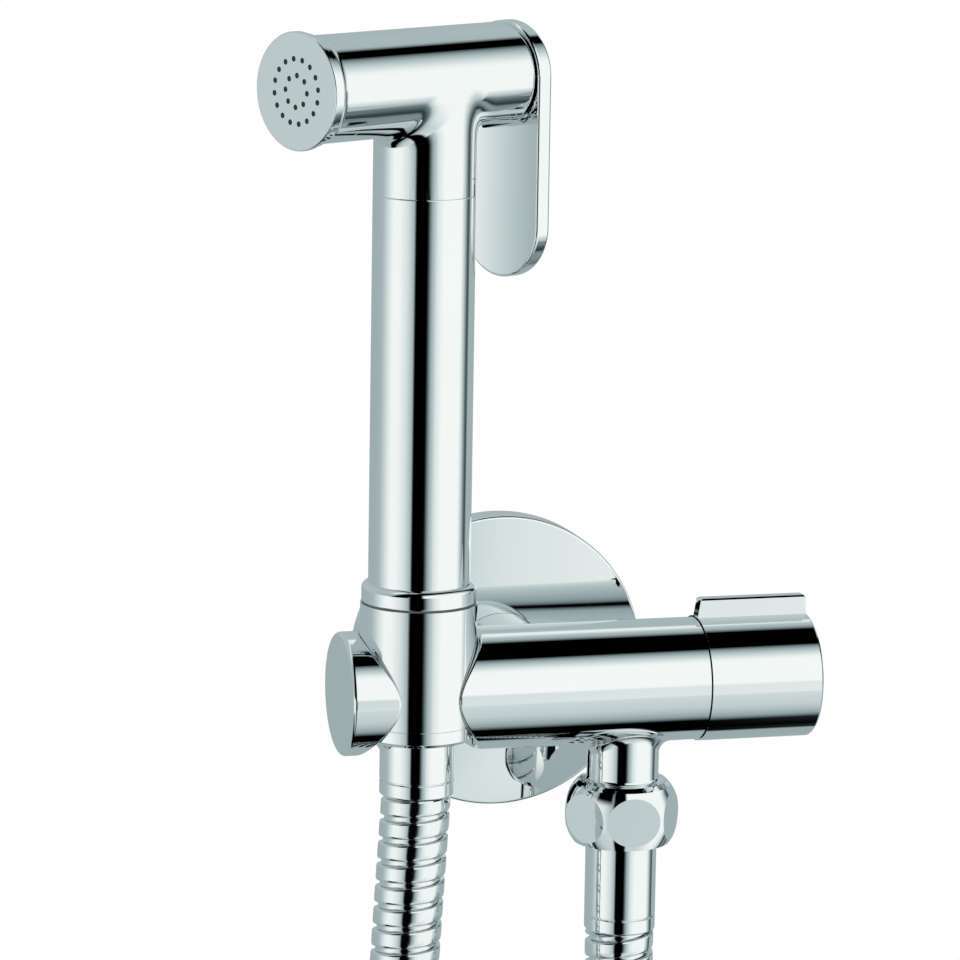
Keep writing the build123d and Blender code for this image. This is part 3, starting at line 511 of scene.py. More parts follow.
def finished_object(name: str, mesh: Mesh, material: Material, node: str = "") -> Piece:
    """Put a mesh into the scene as a piece.

    Args:
        name: The piece's name.
        mesh: Its mesh, in metres of the row frame.
        material: Its finish.
        node: The CAD node that it replaces, if any.

    Returns:
        The new object.
    """
    mesh.materials.clear()
    mesh.materials.append(material)
    piece = bpy.data.objects.new(name, mesh)
    bpy.context.scene.collection.objects.link(piece)
    if node:
        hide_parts(node)
    return piece


def ride_on(piece: Piece, body: Body) -> None:
    """Make a piece move with a body, and log its faces."""
    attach(piece, body.value)
    LOG.info("piece %s: %d faces, rides on %s", piece.name, len(piece.data.polygons), body.value)


def turn_outwards(mesh: Mesh, close: bool = False) -> None:
    """Turn a mesh's faces outwards, after closing its open ends where asked."""
    shape = bmesh.new()
    shape.from_mesh(mesh)
    if close:
        bmesh.ops.holes_fill(shape, edges=[e for e in shape.edges if e.is_boundary], sides=0)
    bmesh.ops.recalc_face_normals(shape, faces=shape.faces)
    shape.to_mesh(mesh)
    shape.free()


def cut(shape: Shape, middle: Vector, across: Vector) -> None:
    """Cut the faces of a mesh along a plane and keep both sides."""
    bmesh.ops.bisect_plane(shape, geom=[*shape.verts, *shape.edges, *shape.faces], plane_co=middle,
                           plane_no=across, dist=CUT_REACH)


def bevel(shape: Shape, edges: list[bmesh.types.BMEdge], width: float, steps: int,
          clamp: bool) -> list[bmesh.types.BMFace]:
    """Round edges over a width in some steps, and give the new faces."""
    return bmesh.ops.bevel(shape, geom=edges, offset=width, offset_type="OFFSET", profile=0.5, segments=steps,
                           affect="EDGES", clamp_overlap=clamp)["faces"]


def triangulate(shape: Shape, corners: int) -> None:
    """Cut each face that has more than some corners into triangles."""
    bmesh.ops.triangulate(shape, faces=[f for f in shape.faces if len(f.verts) > corners])


@dataclass
class Casting:
    """Merged copy of a CAD node with softened edges and the exact normals of its skins."""

    node: str
    skins: Sequence[Skin]
    edge: float = 0.12
    soft_edges: Sequence[SoftEdge] = ()
    flow: FlowSkin | None = None
    slices: Sequence[tuple[Vector, Vector]] = ()
    move: Matrix = field(default_factory=Matrix)

    def build(self, material: Material) -> Piece:
        """Copy the node, soften its edges and set its normals.

        Args:
            material: The piece's finish.

        Returns:
            The new piece, which replaces the node.
        """
        name = f"{self.node}_piece"
        shape = bmesh.new()
        shape.from_mesh(frame["nodes"][self.node].data)
        bmesh.ops.remove_doubles(shape, verts=shape.verts, dist=WELD)
        bmesh.ops.scale(shape, verts=shape.verts, vec=(1 / MM, 1 / MM, 1 / MM))
        self.soften(shape)
        if self.flow:
            self.run_together(shape, self.flow)
        mesh = bpy.data.meshes.new(name)
        shape.to_mesh(mesh)
        shape.free()
        self.set_normals(mesh)
        mesh.transform(Matrix.Scale(MM, 4) @ self.move)
        return finished_object(name, mesh, material, self.node)

    def soften(self, shape: Shape) -> None:
        """Merge coplanar triangles, round the soft edges, slice the mesh and bevel its sharp edges."""
        soft = shape.faces.layers.int.new("soft")
        bmesh.ops.dissolve_limit(shape, angle_limit=FLAT_ANGLE, verts=shape.verts, edges=shape.edges)
        for rule in self.soft_edges:
            chosen = [e for e in shape.edges if e.calc_face_angle(0) > SHARP_ANGLE
                      and all(rule.holds(v.co) for v in e.verts)]
            for face in bevel(shape, chosen, rule.width, rule.steps, False):
                face[soft] = 1
            LOG.info("%s: %d edges rounded by %.1f mm", self.node, len(chosen), rule.width)
        for middle, across in self.slices:
            cut(shape, middle, across)
        if self.edge > 0:
            sharp = [e for e in shape.edges if len(e.link_faces) == 2 and e.calc_face_angle(0) > SHARP_ANGLE
                     and not any(face[soft] for face in e.link_faces)]
            bevel(shape, sharp, self.edge, 1, True)
        triangulate(shape, 4)

    @staticmethod
    def run_together(shape: Shape, flow: FlowSkin) -> None:
        """Refine the zone where two limbs meet and settle it on their joined surface."""
        inverse = flow.place.inverted()
        for middle, across in flow.cuts():
            cut(shape, middle, across)
        triangulate(shape, 4)
        for _ in range(flow.halvings):
            zone = {v for v in shape.verts if flow.covers(inverse @ v.co)}
            wide = [e for e in shape.edges if e.calc_length() > flow.longest_edge
                    and all(v in zone for v in e.verts)]
            if not wide:
                break
            bmesh.ops.subdivide_edges(shape, edges=wide, cuts=1)
            triangulate(shape, 3)
        for vert in shape.verts:
            vert.co = flow.settle(vert.co)

    def set_normals(self, mesh: Mesh) -> None:
        """Give each face corner the normal of the skin that its face lies on, and ease it over soft edges."""
        skins = [*self.skins, self.flow] if self.flow else self.skins
        known = [[skin.normal_at(v.co) for skin in skins] for v in mesh.vertices]
        marks = mesh.attributes["soft"].data
        chosen = [self.face_normals(face, known) for face in mesh.polygons]
        around: dict[int, list[int]] = {}
        for face in mesh.polygons:
            for v in face.vertices:
                around.setdefault(v, []).append(face.index)
        normals: list[Vector] = []
        for face in mesh.polygons:
            if marks[face.index].value:
                normals.extend(self.eased_normal(mesh, face, v, around[v], chosen) for v in face.vertices)
            else:
                normals.extend(chosen[face.index])
        mesh.polygons.foreach_set("use_smooth", [True] * len(mesh.polygons))
        mesh.normals_split_custom_set(normals)

    @staticmethod
    def eased_normal(mesh: Mesh, face: bpy.types.MeshPolygon, vertex: int, near: list[int],
                     chosen: list[list[Vector]]) -> Vector:
        """Normal of a soft face's corner: its plain neighbours' where it has any, else the soft faces' mean.

        Args:
            mesh: The mesh.
            face: The soft face.
            vertex: Number of the corner's vertex.
            near: Numbers of the faces round the vertex.
            chosen: The normals chosen for each face's corners.

        Returns:
            The unit normal.
        """
        plain, soft = Vector(), Vector()
        for other in (mesh.polygons[index] for index in near):
            if other.normal.dot(face.normal) < SOFT_MATCH:
                continue
            if mesh.attributes["soft"].data[other.index].value:
                soft += other.normal * other.area
            else:
                plain += chosen[other.index][list(other.vertices).index(vertex)] * other.area
        return (plain if plain.length > NO_AREA else soft).normalized()

    def face_normals(self, face: bpy.types.MeshPolygon, known: list[list[Vector | None]]) -> list[Vector]:
        """Choose the corner normals of one face.

        Args:
            face: The face.
            known: For each vertex, its normal on each skin, or None.

        Returns:
            One normal for each corner.
        """
        flat = face.normal.copy()
        best, best_match = None, SKIN_MATCH
        for index in range(len(known[0])):
            found = [known[v][index] for v in face.vertices]
            if any(n is None for n in found):
                continue
            flowing = index == len(self.skins)
            match = 1.0 if flowing else min(abs(n.dot(flat)) for n in found)
            if match > best_match:
                best, best_match = found, match
        if best is None:
            return [flat] * len(face.vertices)
        side = 1.0 if sum(n.dot(flat) for n in best) > 0 else -1.0
        return [n * side for n in best]


@dataclass(frozen=True)
class Corner:
    """Corner of a turned outline: its radius, place and rounding, or a point on an arc that ends there."""

    radius: float
    place: float
    rounding: float = 0.0
    via: tuple[float, float] | None = None


@dataclass(frozen=True)
class Arc:
    """Arc of an outline, from its three points."""

    start: Vector
    via: Vector
    end: Vector

    def centre(self) -> Vector:
        """Centre of the circle through the three points."""
        a, b, c = self.start, self.via, self.end
        d = 2 * (a.x * (b.y - c.y) + b.x * (c.y - a.y) + c.x * (a.y - b.y))
        aa, bb, cc = a.length_squared, b.length_squared, c.length_squared
        x = (aa * (b.y - c.y) + bb * (c.y - a.y) + cc * (a.y - b.y)) / d
        y = (aa * (c.x - b.x) + bb * (a.x - c.x) + cc * (b.x - a.x)) / d
        return Vector((x, y))

    def points(self, steps: int) -> list[tuple[Vector, Vector]]:
        """Points on the arc with their normals, on the outline's right-hand side.

        Args:
            steps: How many steps the arc takes.

        Returns:
            A point and a normal for each place, ends included.
        """
        middle = self.centre()
        spoke = self.start - middle
        first = math.atan2(spoke.y, spoke.x)
        sweep = self.angle_to(first, self.end - middle)
        through = self.angle_to(first, self.via - middle)
        if (through > 0) != (sweep > 0) or abs(through) > abs(sweep):
            sweep -= math.copysign(math.tau, sweep)
        side = 1.0 if sweep > 0 else -1.0
        found = []
        for step in range(steps + 1):
            angle = first + sweep * step / steps
            outward = Vector((math.cos(angle), math.sin(angle)))
            found.append((middle + outward * spoke.length, outward * side))
        return found

    @staticmethod
    def angle_to(first: float, spoke: Vector) -> float:
        """Signed angle from a first angle to a spoke, within half a turn."""
        return math.remainder(math.atan2(spoke.y, spoke.x) - first, math.tau)


@dataclass
class Turned:
    """Turned piece from a closed outline that runs up its outside and down its inside."""

    node: str
    place: Matrix
    corners: Sequence[Corner]
    segments: int = 160
    round_steps: int = 5
    bow_steps: int = 18

    def outline(self) -> list[tuple[Vector, Vector, Vector]]:
        """Trace the outline.

        Returns:
            For each point, the normal of the run that ends there and of the run that starts there.
        """
        traced = []
        count = len(self.corners)
        for i, corner in enumerate(self.corners):
            before, after = self.corners[i - 1], self.corners[(i + 1) % count]
            here = Vector((corner.radius, corner.place))
            run_in = self.run(before, corner)
            run_out = self.run(corner, after)
            if corner.via:
                traced.extend((p, n, n) for p, n in run_in[1:-1])
            if corner.rounding > 0:
                traced.extend((p, n, n) for p, n in self.rounded(here, run_in[-1][1], run_out[0][1], corner))
            else:
                traced.append((here, run_in[-1][1], run_out[0][1]))
        return traced

    def run(self, start: Corner, end: Corner) -> list[tuple[Vector, Vector]]:
        """Points and normals of the run between two corners."""
        a, b = Vector((start.radius, start.place)), Vector((end.radius, end.place))
        if end.via:
            return Arc(a, Vector(end.via), b).points(self.bow_steps)
        along = (b - a).normalized()
        normal = Vector((along.y, -along.x))
        return [(a, normal), (b, normal)]

    def rounded(self, here: Vector, normal_in: Vector, normal_out: Vector,
                corner: Corner) -> list[tuple[Vector, Vector]]:
        """Round one corner between two straight runs.

        Args:
            here: The corner's point.
            normal_in: Normal of the run that ends there.
            normal_out: Normal of the run that starts there.
            corner: The corner, for its rounding.

        Returns:
            Points and normals along the rounding.
        """
        turn = math.atan2(normal_in.cross(normal_out), normal_in.dot(normal_out))
        side = 1.0 if turn > 0 else -1.0
        middle = here - (normal_in + normal_out).normalized() * side * corner.rounding / math.cos(turn / 2)
        found = []
        for step in range(self.round_steps + 1):
            angle = turn * step / self.round_steps
            spin = Matrix.Rotation(angle, 2)
            normal = spin @ normal_in
            found.append((middle + normal * side * corner.rounding, normal))
        return found

    def build(self, material: Material) -> Piece:
        """Turn the outline round its axis.

        Args:
            material: The piece's finish.

        Returns:
            The new piece, which replaces its node.
        """
        traced = self.outline()
        count = len(traced)
        points, faces, normals = [], [], []
        index = [self.ring(p, points) for p, _, _ in traced]
        for i, (_, _, leaving) in enumerate(traced):
            j = (i + 1) % count
            arriving = traced[j][1]
            for k in range(self.segments):
                corners = [(i, k, leaving), (i, k + 1, leaving), (j, k + 1, arriving), (j, k, arriving)]
                ids = [index[a][b % len(index[a])] for a, b, _ in corners]
                kept = [n for n in range(4) if ids[n] != ids[n - 1]]
                if len(kept) > 2:
                    faces.append([ids[n] for n in kept])
                    normals.extend(self.spun(corners[n][2], corners[n][1]) for n in kept)
        name = f"{self.node}_piece"
        mesh = bpy.data.meshes.new(name)
        mesh.from_pydata(points, [], faces)
        mesh.polygons.foreach_set("use_smooth", [True] * len(faces))
        mesh.normals_split_custom_set(normals)
        return finished_object(name, mesh, material, self.node)

    def ring(self, point: Vector, points: list[Vector]) -> list[int]:
        """Add one ring of points, or one point on the axis, and give their numbers."""
        first = len(points)
        if point.x < TINY:
            points.append(self.place @ Vector((0, 0, point.y)) * MM)
            return [first]
        for k in range(self.segments):
            angle = math.tau * k / self.segments
            local = Vector((point.x * math.cos(angle), point.x * math.sin(angle), point.y))
            points.append(self.place @ local * MM)
        return list(range(first, first + self.segments))

    def spun(self, normal: Vector, step: int) -> Vector:
        """Normal of the outline turned to one step round the axis."""
        angle = math.tau * step / self.segments
        local = Vector((normal.x * math.cos(angle), normal.x * math.sin(angle), normal.y))
        return self.place.to_3x3() @ local


class GeometryMaker(TreeMaker):
    """Fills a Geometry Nodes tree that has named sizes as inputs, and runs it once to a plain mesh."""

    def __init__(self, name: str, sizes: dict[str, float | int]) -> None:
        """Start the tree.

        Args:
            name: Name of the tree and of its mesh.
            sizes: Value of each named input.
        """
        super().__init__(bpy.data.node_groups.new(name, "GeometryNodeTree"))
        self.sizes = sizes
        kinds = {label: "Int" if isinstance(value, int) else "Float" for label, value in sizes.items()}
        for label, kind in {"Geometry": "Geometry", **kinds, "Material": "Material"}.items():
            self.tree.interface.new_socket(label, in_out="INPUT", socket_type=f"NodeSocket{kind}")
        self.tree.interface.new_socket("Geometry", in_out="OUTPUT", socket_type="NodeSocketGeometry")
        self.start = self.add("NodeGroupInput").outputs

    def grow(self, geometry: Socket, material: Material, carrier: Mesh | None = None,
             place: Matrix | None = None) -> Mesh:
        """End the tree in Realize Instances and Set Material, run it and keep the mesh.

        Args:
            geometry: The geometry to put out.
            material: The material to set.
            carrier: The mesh that the tree starts from, if any.
            place: Where the mesh goes, in millimetres, if it isn't there yet.

        Returns:
            The resulting mesh.
        """
        real = self.add("GeometryNodeRealizeInstances", {0: geometry}).outputs[0]
        dressed = self.add("GeometryNodeSetMaterial", {"Geometry": real, "Material": self.start["Material"]})
        self.add("NodeGroupOutput", {0: dressed.outputs[0]})
        name = self.tree.name
        start = carrier or bpy.data.meshes.new(f"{name}_start")
        carrier_object = bpy.data.objects.new(f"{name}_carrier", start)
        bpy.context.scene.collection.objects.link(carrier_object)
        modifier = carrier_object.modifiers.new("grow", "NODES")
        modifier.node_group = self.tree
        values = {**self.sizes, "Material": material}
        for item in self.tree.interface.items_tree:
            if item.in_out == "INPUT" and item.name in values:
                modifier[item.identifier] = values[item.name]
        mesh = evaluated_mesh(carrier_object)
        mesh.name = name
        bpy.data.objects.remove(carrier_object)
        if place is not None:
            mesh.transform(Matrix.Scale(MM, 4) @ place @ Matrix.Scale(1 / MM, 4))
        return mesh


def evaluated_mesh(source: Piece) -> Mesh:
    """Plain mesh of an object as its curve or its modifiers make it."""
    depsgraph = bpy.context.evaluated_depsgraph_get()
    return bpy.data.meshes.new_from_object(source.evaluated_get(depsgraph), depsgraph=depsgraph)


@dataclass
class RibbedHose:
    """Ribbed metal hose: a wound strip whose ribs climb round the route from the outlet to the hand spray."""

    pitch: float = 5.31
    crest_radius: float = 8.2
    neck_radius: float = 7.2
    around: int = 30
    length: float = 0.985
    # Share of one pitch and share of the rib's height for each point of the strip: seam, neck, groove and rib
    section: tuple[tuple[float, float], ...] = (
        (0.0, -0.35), (0.03, -0.35), (0.04, 0.0), (0.12, -0.02), (0.19, 0.0), (0.197, -0.6), (0.24, -0.6),
        (0.248, 0.5), (0.264, 0.84), (0.292, 0.97), (0.36, 1.0),
        (0.63, 1.02), (0.89, 1.0), (0.952, 0.97), (0.98, 0.84), (0.994, 0.5))
    # Route as (distance along the line from the outlet to the cup, height)
    route: tuple[tuple[float, float], ...] = (
        (0.0, -60.6), (0.0, -107.0), (-8.0, -156.0), (-23.0, -209.0), (-41.0, -263.0), (-61.0, -315.0),
        (-74.0, -367.0), (-67.0, -416.0), (-38.0, -455.0), (6.0, -474.0), (55.0, -470.0), (97.0, -442.0),
        (119.0, -399.0), (121.0, -345.0), (109.0, -290.0), (91.0, -232.0), (75.0, -171.0), (58.4, -112.0),
        (55.4, -56.0), (53.4, -24.2))
    # Where the hose would start to follow the lifted hand spray, as (distance, height), its slope and its
    # length
    bend_start: tuple[float, float] = (8.0, -60.0)
    bend_slope: float = 0.35
    bend_length: float = 43.0
    # Edges over this angle, in degrees, stay sharp
    sharp_angle: float = 50.0

    def point(self, distance: float, height: float) -> Vector:
        """Point of the row frame, in metres, from a place in the hose's plane."""
        start = Vector((OUTLET_X, VALVE_Y, 0))
        across = Vector((CUP_X, CUP_Y, 0)) - start
        return (start + across * (distance / self.route[-1][0]) + Vector((0, 0, height))) * MM

    def centre_line(self) -> Mesh:
        """Mesh of edges along the route's smooth spline."""
        curve = bpy.data.curves.new("hose_route", "CURVE")
        curve.dimensions = "3D"
        curve.resolution_u = 24
        spline = curve.splines.new("NURBS")
        spline.points.add(len(self.route) - 1)
        for control, place in zip(spline.points, self.route):
            control.co = (*self.point(*place), 1.0)
        spline.order_u = 3
        spline.use_endpoint_u = True
        route = bpy.data.objects.new("hose_route", curve)
        bpy.context.scene.collection.objects.link(route)
        line = evaluated_mesh(route)
        bpy.data.objects.remove(route)
        return line

    def wound(self, maker: GeometryMaker) -> Socket:
        """Wind the strip round its path: a grid with rows along the strip and columns round the hose.

        Args:
            maker: The tree's maker.

        Returns:
            The geometry's socket.
        """
        calc, sizes = maker.calc, maker.start
        count = len(self.section)
        path = maker.add("GeometryNodeMeshToCurve", {0: sizes["Geometry"]}).outputs[0]
        whole = maker.add("GeometryNodeCurveLength", {0: path}).outputs[0]
        columns = calc("ADD", sizes["Around"], 1)
        rows = calc("MULTIPLY_ADD", sizes["Turns"], count, count + 1)
        grid = maker.add("GeometryNodeMeshGrid", {"Vertices X": rows, "Vertices Y": columns})
        number = maker.add("GeometryNodeInputIndex").outputs[0]
        row = calc("FLOOR", calc("DIVIDE", calc("ADD", number, 0.5), columns))
        column = calc("SUBTRACT", number, calc("MULTIPLY", row, columns))
        turn = calc("DIVIDE", column, sizes["Around"])
        whole_turns = calc("FLOOR", calc("DIVIDE", calc("ADD", row, 0.5), count))
        step = calc("DIVIDE", calc("SUBTRACT", row, calc("MULTIPLY", whole_turns, count)), count)
        along = self.lookup(maker, step, [share for share, _ in self.section] + [1.0])
        rise = self.lookup(maker, step, [height for _, height in self.section] + [0.0])
        turns = calc("SUBTRACT", calc("ADD", calc("ADD", whole_turns, along), turn), 1.0)
        free_place = calc("MULTIPLY", turns, sizes["Pitch"])
        place = calc("MINIMUM", calc("MAXIMUM", free_place, 0.0), whole)
        inside = calc("COMPARE", free_place, place, TINY)
        height = calc("SUBTRACT", sizes["Crest Radius"], sizes["Neck Radius"])
        radius = calc("MULTIPLY_ADD", calc("MULTIPLY", rise, inside), height, sizes["Neck Radius"])
        sample = maker.add("GeometryNodeSampleCurve", mode="LENGTH", data_type="FLOAT")
        maker.feed(sample.inputs["Curves"], path)
        maker.feed(sample.inputs["Length"], place)
        side = sample.outputs["Normal"]
        other = maker.vector("CROSS_PRODUCT", sample.outputs["Tangent"], side)
        angle = calc("MULTIPLY", turn, math.tau)
        reach_side = maker.scaled(side, calc("MULTIPLY", radius, calc("COSINE", angle)))
        reach_other = maker.scaled(other, calc("MULTIPLY", radius, calc("SINE", angle)))
        spot = maker.vector("ADD", sample.outputs["Position"], maker.vector("ADD", reach_side, reach_other))
        moved = maker.add("GeometryNodeSetPosition", {"Geometry": grid.outputs["Mesh"], "Position": spot})
        return maker.add("GeometryNodeMergeByDistance", {
            "Geometry": moved.outputs[0], "Distance": TINY}).outputs[0]

    @staticmethod
    def lookup(maker: TreeMaker, step: Socket, values: list[float]) -> Socket:
        """Read a value from a table of equal steps.

        Args:
            maker: The tree's maker.
            step: The socket that runs from 0 to 1 over the table.
            values: The table's values, its end included.

        Returns:
            The socket of the value.
        """
        node = maker.add("ShaderNodeFloatCurve", {"Value": step})
        curve = node.mapping.curves[0]
        node.mapping.use_clip = False
        while len(curve.points) < len(values):
            curve.points.new(0.5, 0.5)
        for i, value in enumerate(values):
            curve.points[i].location = (i / (len(values) - 1), value)
            curve.points[i].handle_type = "VECTOR"
        node.mapping.update()
        return node.outputs[0]

    def build(self, material: Material) -> Piece:
        """Args:
            material: The hose's finish.

        Returns:
            The hose.
        """
        line = self.centre_line()
        path = [v.co.copy() for v in line.vertices]
        run = sum((b - a).length for a, b in zip(path, path[1:]))
        turns = round(run / (self.pitch * MM))
        maker = GeometryMaker("ribbed_hose", {
            "Pitch": run / turns, "Crest Radius": self.crest_radius * MM,
            "Neck Radius": self.neck_radius * MM, "Turns": turns, "Around": self.around})
        mesh = maker.grow(self.wound(maker), material, line)
        turn_outwards(mesh, close=True)
        mesh.polygons.foreach_set("use_smooth", [True] * len(mesh.polygons))
        mesh.set_sharp_from_angle(angle=math.radians(self.sharp_angle))
        piece = finished_object("ribbed_hose", mesh, material, "hose")
        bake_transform(piece)
        LOG.info("hose: %.3f m on its spline, %d turns, %d faces", run, turns, len(mesh.polygons))
        return piece


@dataclass(frozen=True)
class Coil:
    """Wire swept by Geometry Nodes along a helix that starts on the local XY plane of a place."""

    name: str
    place: Matrix
    turns: float
    radius: float
    length: float
    wire: float
    steps: int
    sides: int
    node: str = ""

    def build(self, material: Material) -> Piece:
        """Wind the wire.

        Args:
            material: Its finish.

        Returns:
            The new piece.
        """
        maker = GeometryMaker(self.name, {
            "Turns": self.turns, "Radius": self.radius * MM, "Length": self.length * MM,
            "Wire": self.wire * MM})
        sizes = maker.start
        helix = maker.add("GeometryNodeCurveSpiral", {
            "Resolution": self.steps, "Rotations": sizes["Turns"], "Start Radius": sizes["Radius"],
            "End Radius": sizes["Radius"], "Height": sizes["Length"]})
        wire = maker.add("GeometryNodeCurvePrimitiveCircle", {
            "Resolution": self.sides, "Radius": sizes["Wire"]})
        swept = maker.add("GeometryNodeCurveToMesh", {
            "Curve": helix.outputs[0], "Profile Curve": wire.outputs[0], "Fill Caps": True})
        mesh = maker.grow(swept.outputs[0], material, place=self.place)
        turn_outwards(mesh)
        return finished_object(self.name, mesh, material, self.node)


def hose_sleeve(node: str, place: Matrix, radius: float, top: float, foot: float) -> Turned:
    """Crimped sleeve of a hose end, with a fine groove above its foot.

    Args:
        node: The CAD node that it replaces.
        place: The hose end's place.
        radius: Outer radius.
        top: Height of its top.
        foot: Height of its foot.

    Returns:
        The turned piece.
    """
    band, depth, chamfer, lip, bore = 3.4, 0.5, 0.35, 0.08, 4.95
    groove, neck = foot + band, radius - depth
    return Turned(node, place, (
        Corner(bore, foot), Corner(radius - chamfer, foot, 0.1), Corner(radius, foot + chamfer, 0.25),
        Corner(radius, groove, lip), Corner(neck, groove), Corner(neck, groove + depth),
        Corner(radius, groove + depth, lip), Corner(radius, top, 0.25), Corner(bore, top)))


@dataclass
class StopValve:
    """Fixed side: wall flange, inlet, valve body, cup, end cap and the outlet's nut and ferrule."""

    valve_radius: float = 14.65
    boss_radius: float = 12.0
    boss_cove: float = 2.0
    neck_radius: float = 8.6
    neck_cove: float = 3.0
    thread_radius: float = 10.4775
    # Cove between the neck and the outlet's thread: ring radius, wire radius and height
    thread_cove: tuple[float, ...] = (9.6, 1.0, -22.9)
    cup_radius: float = 13.8
    cup_bore: float = 13.0
    # Spigots of the cup in the body and in the end cap, and their bore
    spigot_radius: float = 9.0
    spigot_bore: float = 6.0
    # Widths of the rounding where the body meets the cup, and round the cap's closed face at its place on X
    saddle_width: float = 1.2
    cap_face: float = -46.7
    cap_width: float = 1.0
    # Outlet nut: half its width across flats, turn and spacing of its facets in degrees, and its lower hole
    nut_reach: float = 12.25
    nut_turn: int = -3
    nut_step: int = 30
    nut_hole: float = 7.95
    # Its bulge: ring radius, wire radius, height and crown of the polish
    nut_bulge: tuple[float, ...] = (2.2495, 11.6005, -31.9, 0.25)
    # Ridge of the wall thread: its ends from the wall, its pitch, and the radii of its core and crest
    ridge_start: float = -4.2
    ridge_end: float = 12.0
    ridge_pitch: float = 1.814
    ridge_core: float = 9.4
    ridge_crest: float = 10.45

    def body(self) -> Casting:
        """Horizontal body with its boss and neck."""
        return Casting("valve_body", (
            RoundSkin(ON_VALVE, self.valve_radius), RoundSkin(ON_WALL, self.boss_radius),
            RoundSkin(ON_OUTLET, self.neck_radius), RoundSkin(ON_OUTLET, self.thread_radius),
            RoundSkin(ON_CUP, self.cup_radius + FIT), RingSkin(ON_OUTLET, *self.thread_cove),
            CoveSkin(VALVE_CENTRE @ ON_WALL, self.boss_radius, self.valve_radius, self.boss_cove),
            CoveSkin(ON_OUTLET @ TO_FLOOR, self.neck_radius, self.valve_radius, self.neck_cove)), edge=0.1,
            soft_edges=(self.saddle(),))

    def saddle(self) -> SoftEdge:
        """Rounded edge where a piece of the body meets the cup."""
        return SoftEdge((RoundSkin(ON_VALVE, self.valve_radius),),
                        (RoundSkin(ON_CUP, self.cup_radius + FIT),), self.saddle_width)

    def cup(self) -> Casting:
        """Upright cup."""
        return Casting("holder_cup", (
            RoundSkin(ON_CUP, self.cup_radius), RoundSkin(ON_CUP, self.cup_bore),
            RoundSkin(ON_VALVE, self.spigot_radius), RoundSkin(ON_VALVE, self.spigot_bore)), edge=0.08)

    def end_cap(self) -> Casting:
        """Closed end of the body."""
        side = RoundSkin(ON_VALVE, self.valve_radius)
        end = PlaneSkin(VALVE_CENTRE @ shifted(self.cap_face) @ TO_X)
        return Casting("end_cap", (
            side, RoundSkin(ON_CUP, self.cup_radius + FIT), RoundSkin(ON_VALVE, self.spigot_radius + FIT)),
            edge=0.1, soft_edges=(self.saddle(), SoftEdge((side,), (end,), self.cap_width)))

    def nut(self) -> Casting:
        """Outlet nut with flat facets and a bulge whose polish is almost level."""
        flats = [PlaneSkin(ON_OUTLET @ Matrix.Rotation(math.radians(angle + self.nut_turn), 4, "Z") @ TO_X
                           @ shifted(z=self.nut_reach)) for angle in range(0, 360, self.nut_step)]
        return Casting("outlet_nut", (
            *flats, RingSkin(ON_OUTLET, *self.nut_bulge),
            RoundSkin(ON_OUTLET, self.thread_radius + FIT), RoundSkin(ON_OUTLET, self.nut_hole)), edge=0.08)

    def lower_ring(self) -> Turned:
        """Bevelled ring under the cup."""
        return Turned("cup_lower_ring", ON_CUP, (
            Corner(9.3, -10.4, 0.15), Corner(13.0, -10.4, 0.15), Corner(13.8, -9.6, 0.2),
            Corner(13.8, -6.75, 0.05), Corner(13.65, -6.6), Corner(12.95, -6.6), Corner(12.95, -3.6),
            Corner(9.3, -3.6)))

    def ferrule(self) -> Turned:
        """Crimped sleeve under the nut."""
        return hose_sleeve("outlet_ferrule", ON_OUTLET, radius=8.5, top=-38.9, foot=-60.6)

    def flange(self) -> Turned:
        """Round wall flange: a dish with a soft edge."""
        return Turned("escutcheon", ON_WALL, (
            Corner(35.7, -7.17, 0.7, via=(24.5, -7.72)), Corner(35.7, 0.0, 0.1), Corner(34.5, 0.0, 0.1),
            Corner(34.5, -6.0, 0.5), Corner(12.05, -6.8), Corner(12.05, -8.08)), segments=220, bow_steps=30)

    def inlet(self) -> Turned:
        """Core of the wall nipple, with its bore and its strainer seat."""
        return Turned("inlet_connector", ON_WALL, (
            Corner(5.0, -18.0), Corner(9.0, -18.0, 0.2), Corner(9.0, -5.0), Corner(9.45, -5.0, 0.1),
            Corner(9.45, 12.2, 0.25), Corner(7.6, 12.5, 0.1), Corner(7.6, 9.9), Corner(6.5, 9.9),
            Corner(6.5, -13.05), Corner(5.0, -13.05)))

    def wall_thread(self) -> Coil:
        """Blunt ridge of the wall thread."""
        ridge = self.ridge_crest - self.ridge_core
        length = self.ridge_end - self.ridge_start - 2 * ridge
        return Coil("wall_thread", ON_WALL @ shifted(z=self.ridge_start + ridge), length / self.ridge_pitch,
                    self.ridge_core, length, ridge, steps=48, sides=4)


@dataclass
class QuarterTurnKnob:
    """Quarter-turn knob."""

    # Outside, inside of the skirt, hub and spindle's bore
    radii: tuple[float, ...] = (15.0, 13.2, 7.5, 4.05)

    def cap(self) -> Casting:
        """Round cap with a fin along its top."""
        return Casting("knob", [RoundSkin(ON_VALVE, radius) for radius in self.radii])


